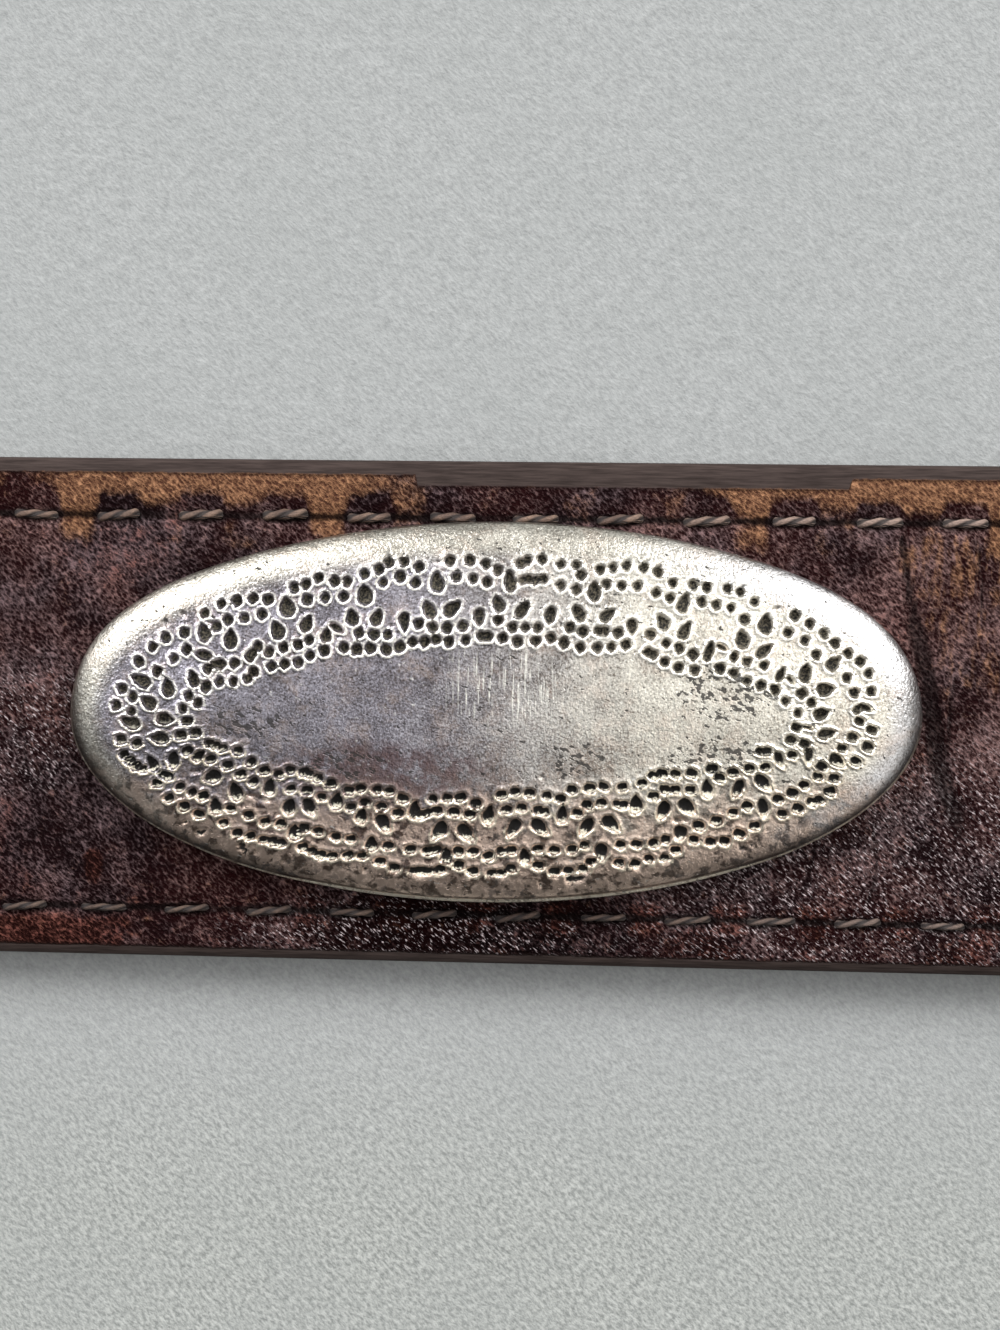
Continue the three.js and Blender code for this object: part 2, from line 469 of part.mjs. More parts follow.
// A pit that narrows from its outline on the dome to one deepest point. The outline is in the punch's own
// axes, turned by heading, and the solid that cuts the pit widens on above the dome.
function pit(outline, x, y, heading) {
  const surface = CONCHO_BASE + conchoHeight(insetAt(x, y));
  const top = surface + PIT_CLEARANCE;
  const widening = (PIT_DEPTH + PIT_CLEARANCE) / PIT_DEPTH;
  const middle = new THREE.Vector2(x, y);
  const rim = outline.map(([u, v]) => {
    const corner = new THREE.Vector2(u, v).multiplyScalar(widening);
    corner.rotateAround(new THREE.Vector2(), heading).add(middle);
    return new THREE.Vector3(corner.x, corner.y, top);
  });
  const centre = new THREE.Vector3(x, y, top);
  const deepest = new THREE.Vector3(x, y, surface - PIT_DEPTH);
  const points = rim.flatMap((corner, i) => {
    const next = rim[(i + 1) % rim.length];
    return [corner, next, centre, next, corner, deepest];
  });
  return solid(new THREE.BufferGeometry().setFromPoints(points));
}

// A dot's sides lie along the oval that runs through it
function dotPit([x, y]) {
  const half = DOT_SIZE / 2;
  const outline = [[half, half], [-half, half], [-half, -half], [half, -half]];
  const heading = Math.atan2(x / CONCHO_HALF_LENGTH ** 2, -y / CONCHO_HALF_WIDTH ** 2);
  return pit(outline, x, y, heading);
}

function dropPit([x, y, degrees, length, width]) {
  const outline = DROP_OUTLINE.map(([u, v]) => [u * width, v * length]);
  return pit(outline, x, y, radians(degrees - 90));
}

function stampedPits() {
  return wasm.Manifold.union([...DOTS.map(dotPit), ...DROPS.map(dropPit)]);
}

function makeConcho() {
  const ceiling = CONCHO_BASE + conchoHeight(CONCHO_HALF_WIDTH) - CONCHO_WALL / 2;
  const boss = upright(BOSS_DIAMETER, CONCHO_BASE, ceiling, BOSS_SIDES);
  return conchoShell().add(boss).subtract(stampedPits());
}

function makeConchoPost() {
  const head = upright(POST_HEAD_DIAMETER, 0, POST_HEAD_THICKNESS, HEAD_SIDES);
  const shankTop = CONCHO_BASE - POST_CLEARANCE;
  const shank = upright(POST_DIAMETER, POST_HEAD_THICKNESS / 2, shankTop, POST_SIDES);
  const slotLength = POST_HEAD_DIAMETER + CUTTER_OVERRUN;
  const slot = new THREE.BoxGeometry(slotLength, POST_SLOT_WIDTH, 2 * POST_SLOT_DEPTH);
  return head.add(shank).subtract(solid(slot));
}

// The frame's centre line sinks from the bar to the far rail, which rests on the surface
function frameHeight(x) {
  const share = (BAR_X - x) / (BUCKLE_REACH - BUCKLE_RAIL_WIDTH / 2);
  return lerp(BAR_HEIGHT, BUCKLE_RAIL_HEIGHT / 2, THREE.MathUtils.clamp(share, 0, 1));
}

// Plan of the frame's centre line, from the bar's lower end round the far rail and back along the bar
function framePlan() {
  const halfWidth = (BUCKLE_INSIDE_WIDTH + BUCKLE_RAIL_WIDTH) / 2;
  const farX = BAR_X - BUCKLE_REACH + BUCKLE_RAIL_WIDTH / 2;
  const corner = (cx, cy, radius, from, steps) => evenSteps(from, from + 90, steps).map((degrees) => ({
    x: cx + radius * Math.cos(radians(degrees)),
    y: cy + radius * Math.sin(radians(degrees)),
  }));
  const inner = halfWidth - BUCKLE_CORNER;
  const nearInner = halfWidth - BUCKLE_NEAR_CORNER;
  const nearX = BAR_X - BUCKLE_NEAR_CORNER;
  return [
    ...corner(nearX, nearInner, BUCKLE_NEAR_CORNER, 0, NEAR_CORNER_STEPS),
    ...corner(farX + BUCKLE_CORNER, inner, BUCKLE_CORNER, 90, FAR_CORNER_STEPS),
    ...corner(farX + BUCKLE_CORNER, -inner, BUCKLE_CORNER, 180, FAR_CORNER_STEPS),
    ...corner(nearX, -nearInner, BUCKLE_NEAR_CORNER, 270, NEAR_CORNER_STEPS),
  ];
}

// Sweeps an eight-sided section round the closed frame. It is narrower and rounder along the bar.
function frameGeometry() {
  const plan = framePlan();
  const sides = FRAME_SIDES;
  const points = [];
  plan.forEach((p, i) => {
    const before = plan[(i + plan.length - 1) % plan.length];
    const after = plan[(i + 1) % plan.length];
    const forward = new THREE.Vector2(after.x - before.x, after.y - before.y).normalize();
    const nearBar = p.x > BAR_X - BAR_DIAMETER / 4;
    const width = nearBar ? BAR_DIAMETER : BUCKLE_RAIL_WIDTH;
    const height = nearBar ? BAR_DIAMETER : BUCKLE_RAIL_HEIGHT;
    for (let j = 0; j < sides; j++) {
      const angle = 2 * Math.PI * (j + 0.5) / sides;
      const out = width / 2 * Math.cos(angle) / Math.cos(Math.PI / sides);
      const up = height / 2 * Math.sin(angle) / Math.cos(Math.PI / sides);
      points.push(new THREE.Vector3(p.x + forward.y * out, p.y - forward.x * out, frameHeight(p.x) + up));
    }
  });
  const triangles = [];
  plan.forEach((_, i) => {
    const next = (i + 1) % plan.length;
    for (let j = 0; j < sides; j++) {
      const turn = (j + 1) % sides;
      triangles.push(i * sides + j, next * sides + j, next * sides + turn);
      triangles.push(i * sides + j, next * sides + turn, i * sides + turn);
    }
  });
  const geometry = new THREE.BufferGeometry().setFromPoints(points);
  geometry.setIndex(triangles);
  return geometry;
}

// The prong leaves its eye on the bar, bends over and rests on the far rail
function prongGeometry() {
  const farX = BAR_X - BUCKLE_REACH;
  const restHeight = BUCKLE_RAIL_HEIGHT + PRONG_DIAMETER / 2 - PRONG_SINK;
  const bendHeight = BAR_HEIGHT + PRONG_BEND.rise;
  const slopeHeight = lerp(bendHeight, restHeight, PRONG_SLOPE.share);
  const path = new THREE.CatmullRomCurve3([
    new THREE.Vector3(BAR_X, 0, BAR_HEIGHT + PRONG_ROOT_RISE),
    new THREE.Vector3(BAR_X - PRONG_BEND.reach, 0, bendHeight),
    new THREE.Vector3(BAR_X - PRONG_SLOPE.reach, 0, slopeHeight),
    new THREE.Vector3(farX + PRONG_TIP_LENGTH, 0, restHeight),
    new THREE.Vector3(farX + PRONG_STOP, 0, restHeight - PRONG_TIP_DROP),
  ]);
  const radius = PRONG_DIAMETER / 2;
  const section = new THREE.Shape(Array.from({ length: PRONG_SIDES }, (_, i) => {
    const angle = 2 * Math.PI * i / PRONG_SIDES;
    return new THREE.Vector2(radius * Math.cos(angle), radius * Math.sin(angle));
  }));
  return new THREE.ExtrudeGeometry(section, { steps: PRONG_STEPS, extrudePath: path, bevelEnabled: false });
}

function makeBuckle() {
  const radius = PRONG_EYE_DIAMETER / 2;
  const eye = new THREE.CylinderGeometry(radius, radius, PRONG_EYE_WIDTH, EYE_SIDES);
  eye.translate(BAR_X, 0, BAR_HEIGHT);
  return solid(frameGeometry()).add(solid(eye)).add(solid(prongGeometry()));
}

const finishes = {
  leather: new THREE.MeshStandardMaterial({ color: 0x4a2f2b, roughness: 0.5, metalness: 0 }),
  backing: new THREE.MeshStandardMaterial({ color: 0x3b2a25, roughness: 0.8, metalness: 0 }),
  agedSilver: new THREE.MeshStandardMaterial({ color: 0xa39b8e, roughness: 0.35, metalness: 1 }),
  plainMetal: new THREE.MeshStandardMaterial({ color: 0x8f8a80, roughness: 0.4, metalness: 1 }),
};

function piece(name, body, finish) {
  const mesh = new THREE.Mesh(geometryOf(body), finishes[finish]);
  mesh.name = name;
  return mesh;
}

// The concho sits a touch askew on its one post
const concho = piece('concho', makeConcho(), 'agedSilver');
concho.rotation.z = radians(CONCHO_TURN);

const belt = new THREE.Group();
belt.add(
  piece('strap_face', makeStrapFace(), 'leather'),
  piece('strap_backing', makeStrapBacking(), 'backing'),
  concho,
  piece('concho_post', makeConchoPost(), 'plainMetal'),
  piece('buckle', makeBuckle(), 'plainMetal'),
);

export default belt;
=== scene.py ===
import math
import random
from contextlib import contextmanager

import bpy
import numpy as np
from mathutils import Matrix, Vector


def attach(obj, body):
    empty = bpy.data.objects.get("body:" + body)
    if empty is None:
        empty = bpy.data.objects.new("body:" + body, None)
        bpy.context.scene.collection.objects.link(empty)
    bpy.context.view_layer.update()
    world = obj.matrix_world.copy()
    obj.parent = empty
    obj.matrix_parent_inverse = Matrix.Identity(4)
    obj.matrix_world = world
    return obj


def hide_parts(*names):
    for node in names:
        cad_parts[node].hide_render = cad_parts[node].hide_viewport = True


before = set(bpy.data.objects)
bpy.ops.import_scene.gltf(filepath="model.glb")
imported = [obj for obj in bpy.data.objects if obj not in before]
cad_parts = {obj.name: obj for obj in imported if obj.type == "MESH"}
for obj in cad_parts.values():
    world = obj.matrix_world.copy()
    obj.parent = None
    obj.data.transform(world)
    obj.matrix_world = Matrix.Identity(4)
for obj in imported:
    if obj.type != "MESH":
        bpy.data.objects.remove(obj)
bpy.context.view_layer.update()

# Every length below is in millimetres unless it says otherwise
MM = 0.001

# The strap, as in the part's source. X runs along it and the photo's viewer is on the -Y side
STRAP_WIDTH = 38.1
HALF_WIDTH = STRAP_WIDTH / 2
STRAP_LENGTH = 1040.8
TIP_X = 539.4
TIP_LENGTH = 24
BAR_X = TIP_X - STRAP_LENGTH
BACKING_THICKNESS = 1.8
FACE_BOTTOM = 2.0
FACE_CROWN = 2.15
TAIL_LENGTH = 62
TAIL_TOP = 1.65
TAIL_SKIVE = TAIL_TOP / FACE_CROWN
FOLD_RADIUS = 2.3
FOLD_END_X = BAR_X - math.pi * FOLD_RADIUS
BAR_HEIGHT = TAIL_TOP + FOLD_RADIUS
RISE_LENGTH = 26
TAIL_GAP = 0.5
BACKING_END_X = BAR_X + TAIL_LENGTH + TAIL_GAP
BELT_SIZE = 914
MIDDLE_HOLE_X = BAR_X + BELT_SIZE
HOLES_EACH_SIDE = 2
HOLE_SPACING = 25.4
HOLE_DIAMETER = 5
PRONG_SLOT_WIDTH = 9
PRONG_SLOT_REACH = 13
PRONG_SLOT_PAST_BAR = 8

# Sections of the layers, from the underside out to the edge and in over the top: inset from the edge, height
FACE_UNDER = [(6.5, 0), (1.0, 0), (0.25, 0.03), (0.06, 0.12), (0, 0.3)]
FACE_TOP = [(0, 0.85), (0.07, 1.08), (0.2, 1.27), (0.42, 1.45), (0.72, 1.6), (1.05, 1.7), (1.5, 1.78),
            (2.1, 1.85), (2.7, 1.9), (3.2, 1.93), (3.65, 1.95), (4.1, 1.97), (4.55, 1.99), (5.0, 2.01),
            (5.6, 2.05), (6.5, 2.1)]
BACKING_UNDER = [(6.5, 0), (5.2, 0), (4.6, 0), (4.1, 0), (3.6, 0), (3.0, 0), (1.6, 0), (0.9, 0.06),
                 (0.4, 0.24), (0.1, 0.55)]
BACKING_TOP = [(0, 0.85), (0, 1.5), (0.06, 1.68), (0.25, 1.78), (6.5, BACKING_THICKNESS)]

# How finely the strap is divided: columns across its middle, and steps along it
FACE_MIDDLE_COLUMNS = 17
BACKING_MIDDLE_COLUMNS = 1
TAIL_STEP = 2.0
FOLD_STEP = 0.3
RISE_STEP = 0.7
FINE_STEP = 0.27
FINE_REACH = 40
TIP_STEPS = 56

# Stitching: one beat is one stitch and the gap after it
PITCH = 6.33
FACE_STEP = PITCH / 7
BACKING_STEP = PITCH / 2
ROW_INSET = {"far": 4.35, "near": 3.87}
ROW_START = {"far": 3.18, "near": 2.2}
FIRST_STITCH_X = BAR_X + RISE_LENGTH + 4
TIP_TOLERANCE = 1e-6
STITCH_LENGTH = 4.5
STITCH_SIDES = 6
STITCH_RINGS = (-0.42, -0.32, -0.16, 0, 0.16, 0.32, 0.42)
STITCH_HEIGHT = FACE_BOTTOM + 1.86
UNDER_STITCH_HEIGHT = 0.42
UNDER_SQUASH = 0.8
THREAD_RADIUS = 0.29
PLIES = 2
PLY_TURN = 3.4
# A stitch arches in its middle, where it is fattest, and thins and dives at its ends. The ranges are shares
# of half its length, and its size is scaled along, across and up
PLY_BULGE = 0.2
STITCH_ARCH = 0.1
STITCH_SWELL = 0.12
STITCH_DIVE = 0.75
DIVE_RANGE = (0.62, 1.05)
STITCH_THINNING = 0.35
THINNING_RANGE = (0.75, 1)
STITCH_SIZE = (0.96, 1.05, 0.86)
# How the stitches differ: middle and spread of their turn in degrees, least and most of their fatness,
# stretch and lift, and the spread of their place
STITCH_TURN = (3, 2.4)
FATNESS = (0.92, 1.08)
STRETCH = (0.95, 1.04)
LIFT = (-0.03, 0.05)
STRAY_ALONG = 0.08
STRAY_ASIDE = 0.05
# Each side's seeds for its upper and lower row, and how slim its thread lies on the face
STITCH_ROWS = {"far": (31, 41, 1), "near": (37, 43, 0.78)}

# Low relief of the leather: height or depth, and how far it reaches from its middle
STITCH_DIP = (0.2, 1.1)
PUFF = (0.13, 0.8)
PUFF_OFFSET = 1.0
FACE_CHANNEL = (0.22, 0.35)
BACK_CHANNEL = (0.42, 0.55)
PRESSED_BY_CONCHO = 0.1
PRESSED_OVAL = (29, 12.6)
PRESSED_FADE = (1.15, 0.95)
# The relief fades out towards the edge, the rolls further in. Each roll has its height, length and seed
EDGE_FADE = (0.4, 1.6)
ROLL_FADE = (1, 4)
ROLLS = ((0.05, 16, 5), (0.03, 5, 8))
# Soft waves: how many run together, the least and most of their length as shares of their size, and what
# evens out their height
WAVES = 7
WAVE_LENGTHS = (0.7, 1.6)
WAVE_DAMPING = 4
# Creases: the points that each runs through, how wide and how deep it is
CREASES = (
    (((30.2, 13.6), (30.9, 9.5), (32.4, 4.2), (33.4, -1.5)), 0.28, 0.3),
    (((31.2, 7.6), (32.4, 3.0), (33.1, -3.0), (34.8, -7.8)), 0.8, 0.26),
    (((31.6, 14.2), (32.6, 9.0), (33.3, 5.5)), 0.22, 0.16),
    (((35.7, 13.4), (36.0, 11.0), (36.2, 8.4)), 0.2, 0.2),
    (((34.2, 3.2), (33.8, -2.8), (34.9, -7.0)), 0.3, 0.18),
    (((-36.8, 5.0), (-35.9, -1.0), (-35.3, -6.5)), 0.3, 0.16),
    (((-33.6, 8.5), (-34.6, 3.0)), 0.25, 0.12),
    (((24.3, -9.2), (23.6, -12.6)), 0.25, 0.18),
    (((28.6, -8.0), (28.9, -11.4), (28.3, -13.6)), 0.25, 0.18),
)

# The lowest and highest point of each cutter
THROUGH_STRAP = (-2, 8)
THROUGH_FOLD = (-15, 15)
THROUGH_FACE = (1, 6)
THROUGH_BACKING = (-1, 4)
HEAD_RECESS = (-1, 1.2)
CUTTER_SIDES = 48

# The concho. Its rim rolls down to its edge, with a thin flat lip along the lower edge, round a low dome
CONCHO_HALF_LENGTH = 31.8
CONCHO_HALF_WIDTH = 14.1
CONCHO_TURN = math.radians(0.8)
CONCHO_BASE = 4.45
CONCHO_WALL = 1.2
RIM_EDGE = 0.12
RIM_EDGE_HEIGHT = 0.6
RIM_ROLL = 2.6
RIM_ROLL_HEIGHT = 1.3
DOME_RISE = 1.5
LIP_WIDTH = 0.22
LIP_HEIGHT = 0.3
LIP_ROUND = 0.15
LIP_TO_WALL = 0.4
# Where the lip runs, by the sine of the oval's angle and by how far its cosine is from the lip's middle
LIP_FADE_DOWN = (0.1, -0.5)
LIP_FADE_ASIDE = (0.62, 0.45)
LIP_MIDDLE = 0.08

# Its upper edge stands out a little, most of all at its two shoulders
TOP_BULGE = 0.33
LEFT_SHOULDER = 0.8
RIGHT_SHOULDER = 0.6
SHOULDER_PEAK = (5 / 6) ** 2.5 * (1 / 6) ** 0.5
BULGE_DEPTH = 6

# The rings that it is drawn through, by distance in from its outline. Each foot ring has its height too
CONCHO_SIDES = 1120
HOLLOW_RINGS = [12.8, 8, 4.5, 2.8, 1.8, 1.3]
FOOT_RINGS = [(1.15, 0.0), (0.1, 0.0), (0.0, 0.1)]
RIM_RINGS = [0.02, 0.06, 0.12, 0.2, 0.3, 0.41, 0.54, 0.7, 0.9, 1.12, 1.36, 1.62, 1.9]
STAMPED_RINGS = list(np.arange(2.25, 10.35, 0.131))
MIDDLE_RINGS = [10.7, 11.6, 12.8]

# How its border was struck
STRIKE_SEED = 11
GRIT_SEED = 4
PIT_DEPTH = 0.46
PIT_WALL = (-0.03, 0.17)
PIT_SLANT = 0.4
PIT_GRIT = 0.05
BURR_HEIGHT = 0.1
BURR_PLACE = 0.13
BURR_REACH = 0.1
BURR_GRIT = 0.25
PUNCH_MARGIN = 0.5
# A pit cuts off the burr, and the burr's shine, faster than it deepens
BURR_CUT_OFF = 1.5
SHINE_CUT_OFF = 1.4
# How much the strikes differ: least and most, or the spread in degrees. The dots of the lower half lean
# outwards by so many degrees for each millimetre
FORCE = (0.82, 1.1)
DOT_SPREAD = (0.9, 1.1)
TURN_SPREAD = 3
LOWER_TURN_SPREAD = 6
LOWER_LEAN = 0.6
# Shallow dents of wear: height, length and seed
DENTS = (0.012, 6, 21)
DOT_SIDES = 12
DOT_SQUARENESS = 3.2
OVAL_SIDES = 11
DROP_STEPS = 9
DROP_FULLNESS = 0.41
TINY = 1e-9

# The stamped border. Every punch mark was read off the photo, from the middle of the concho.
# The dots of the lower half were struck wider and lower
DOT_SIZE = 0.76
WIDER = 1.16
LOWER = 0.92
DOTS = (
    # The outermost row, from the left end over the top to the right end
    (-27.77, 0.8), (-27.27, 2.05), (-26.55, 0.37), (-26.5, 1.45), (-26.02, 4.05), (-24.98, 5.14),
    (-24.02, 5.82), (-22.59, 6.2), (-21.11, 7.61), (-19.86, 8.32), (-18.7, 8.5), (-17.47, 8.7),
    (-16.36, 8.62), (-14.43, 9.5), (-13.56, 9.75), (-12.62, 10.23), (-11.41, 9.97), (-10.5, 9.95),
    (-9.23, 10.5), (-8.15, 10.86), (-7.45, 11.36), (-6.32, 11.38), (-5.18, 11.0), (-2.93, 11.47),
    (-1.47, 11.5), (-0.29, 11.2), (0.59, 10.77), (2.25, 11.25), (2.75, 11.5), (3.84, 11.55), (5.2, 11.2),
    (6.35, 11.09), (6.68, 10.44), (8.07, 10.84), (9.0, 10.93), (10.0, 11.1), (11.25, 10.93),
    (12.29, 10.62), (13.38, 9.84), (14.86, 9.68), (15.82, 9.5), (17.36, 9.41), (18.27, 9.2), (19.32, 8.45),
    (22.25, 7.45), (23.27, 6.84), (24.32, 6.14), (25.1, 5.44), (26.05, 4.71), (26.95, 4.14), (27.55, 3.27),
    (27.73, 1.95),
    # The second row of the upper half
    (-24.6, 3.35), (-23.35, 4.27), (-22.41, 4.93), (-20.23, 6.64), (-19.35, 7.14), (-18.1, 7.27),
    (-16.79, 7.56), (-13.45, 8.64), (-12.12, 8.75), (-10.77, 8.86), (-7.86, 9.86), (-6.56, 10.29),
    (-5.43, 9.85), (-2.44, 10.3), (-1.21, 10.16), (-0.2, 9.89), (2.4, 10.05), (2.85, 10.15), (3.4, 10.05),
    (3.95, 10.15), (5.2, 9.64), (6.34, 9.35), (8.53, 9.7), (9.64, 9.6), (10.77, 9.6), (12.14, 9.09),
    (13.14, 8.71), (15.45, 8.45), (16.5, 8.23), (17.59, 8.0), (18.56, 7.18), (21.7, 6.2), (22.9, 5.64),
    (23.73, 4.64), (25.95, 2.9), (26.5, 1.86),
    # The two inner rows of the upper half
    (-22.2, 1.55), (-21.5, 1.03), (-22.6, 0.6), (-22.3, -0.28), (-20.77, 3.55), (-20.3, 3.86),
    (-19.85, 3.86), (-18.75, 3.93), (-17.05, 5.2), (-16.23, 4.82), (-15.14, 5.11), (-14.05, 5.32),
    (-13.25, 5.65), (-9.55, 6.18), (-8.5, 6.07), (-7.45, 6.07), (-5.18, 6.86), (-4.18, 6.6), (-3.09, 6.55),
    (-1.95, 6.68), (0.64, 7.1), (1.68, 6.6), (2.64, 6.59), (3.55, 6.56), (5.9, 6.59), (6.8, 6.29),
    (8.0, 6.32), (8.4, 6.32), (9.38, 6.2), (11.73, 6.07), (12.86, 5.41), (13.82, 5.05), (14.8, 4.65),
    (17.77, 4.45), (18.73, 4.1), (19.95, 3.82), (20.73, 2.1), (22.63, 1.82), (23.38, 1.17), (-20.9, 2.25),
    (-19.9, 2.6), (-18.86, 2.6), (-17.8, 2.8), (-17.35, 3.3), (-16.0, 3.75), (-15.04, 3.88),
    (-14.04, 4.03), (-13.2, 4.5), (-12.12, 4.88), (-10.68, 5.11), (-9.73, 4.98), (-8.73, 5.05),
    (-7.55, 4.95), (-6.6, 5.16), (-5.6, 5.53), (-4.73, 5.56), (-3.9, 5.68), (-2.95, 5.55), (-1.73, 5.65),
    (-0.5, 5.95), (-0.1, 5.97), (1.0, 5.82), (2.05, 5.53), (3.38, 5.59), (4.5, 5.82), (5.45, 5.47),
    (6.62, 5.11), (7.88, 5.11), (8.9, 5.14), (9.95, 5.32), (11.55, 4.8), (11.9, 4.62), (12.77, 4.1),
    (13.75, 3.68), (14.93, 3.5), (16.75, 3.62), (17.73, 3.27), (18.7, 2.73), (19.73, 2.38), (21.45, 1.27),
    (22.4, 0.4), (22.3, -0.62),
    # The two inner rows of the lower half
    (-21.7, -1.18), (-22.86, -1.36), (-22.36, -2.5), (-20.64, -1.95), (-20.2, -2.1), (-19.7, -2.3),
    (-18.55, -2.5), (-17.6, -3.3), (-16.6, -3.95), (-15.55, -4.2), (-14.7, -3.9), (-13.6, -4.02),
    (-13.2, -4.2), (-12.6, -4.5), (-11.7, -4.88), (-10.36, -5.4), (-9.5, -5.2), (-8.27, -5.33),
    (-7.35, -5.45), (-6.34, -5.97), (-4.14, -6.0), (-3.1, -5.88), (-2.1, -5.83), (-1.0, -6.3),
    (0.9, -5.68), (1.9, -5.42), (2.95, -5.5), (4.23, -5.7), (5.2, -5.9), (6.05, -5.24), (7.36, -5.13),
    (8.36, -5.0), (9.68, -5.05), (11.14, -4.75), (11.95, -4.2), (12.6, -4.05), (13.55, -4.05),
    (14.73, -4.0), (16.18, -3.7), (16.77, -4.3), (17.73, -3.95), (18.95, -3.65), (20.05, -3.5),
    (19.75, -2.4), (20.15, -2.38), (21.9, -1.55), (22.9, -1.85), (22.0, -2.65), (-20.6, -3.15),
    (-19.36, -3.6), (-18.38, -4.25), (-17.45, -4.78), (-14.64, -5.28), (-13.45, -5.4), (-12.4, -5.9),
    (-10.2, -6.65), (-9.2, -6.3), (-7.93, -6.6), (-6.73, -7.07), (-5.1, -7.25), (-4.6, -7.05),
    (-3.86, -6.83), (-2.6, -6.95), (-1.45, -7.13), (1.23, -6.73), (2.38, -6.6), (3.6, -6.73), (4.0, -6.9),
    (6.45, -6.96), (7.14, -6.36), (8.18, -6.2), (9.4, -6.3), (9.75, -6.35), (12.0, -5.7), (12.8, -5.2),
    (13.55, -5.2), (14.65, -5.2),
    # The two outer rows of the lower half
    (-27.45, -1.73), (-26.23, -2.0), (-27.2, -2.85), (-26.8, -3.3), (-26.3, -3.7), (-25.8, -3.95),
    (-24.3, -4.3), (-23.9, -4.45), (-24.75, -5.0), (-23.0, -5.25), (-22.1, -5.65), (-21.25, -5.9),
    (-19.2, -6.85), (-17.85, -7.3), (-16.65, -7.82), (-15.45, -7.92), (-13.77, -8.25), (-12.7, -8.45),
    (-11.4, -8.9), (-10.27, -9.05), (-7.5, -9.52), (-5.9, -9.8), (-4.55, -9.85), (-3.9, -9.8),
    (-2.3, -9.87), (-1.2, -9.9), (-0.1, -10.25), (0.8, -9.87), (1.6, -9.77), (3.55, -9.65), (4.77, -9.77),
    (6.05, -9.7), (6.95, -9.35), (9.6, -9.37), (10.75, -9.28), (12.05, -9.2), (12.9, -8.9), (14.95, -8.95),
    (15.3, -7.9), (16.6, -7.5), (17.77, -6.9), (18.8, -6.4), (16.18, -9.08), (17.2, -9.03), (18.27, -8.48),
    (19.36, -7.9), (21.05, -5.9), (22.1, -5.45), (22.9, -4.85), (23.9, -4.2), (24.14, -3.5), (25.6, -2.2),
    (26.36, -1.4), (26.86, -0.2), (-23.9, -6.1), (-22.75, -6.7), (-21.65, -7.3), (-19.8, -7.9),
    (-18.77, -8.68), (-17.8, -8.9), (-16.8, -9.15), (-16.15, -9.28), (-15.5, -9.38), (-13.85, -9.7),
    (-13.25, -10.0), (-12.55, -10.28), (-11.7, -10.33), (-10.5, -10.28), (-9.45, -10.3), (-8.15, -10.72),
    (-7.1, -11.2), (-5.65, -11.4), (-5.1, -11.4), (-4.5, -11.4), (-3.7, -11.3), (-2.3, -10.95),
    (-1.25, -11.38), (0.15, -11.55), (0.85, -11.52), (1.55, -11.15), (3.55, -10.92), (4.77, -11.4),
    (5.77, -11.3), (6.86, -11.18), (7.4, -10.62), (9.5, -10.72), (10.7, -10.77), (11.68, -10.35),
    (12.86, -10.3), (13.64, -9.7), (21.36, -7.0), (22.5, -6.6), (23.55, -6.1), (24.05, -5.95),
    (24.8, -5.35), (25.1, -4.4), (26.7, -3.15), (27.5, -2.1), (27.8, -0.86),
)
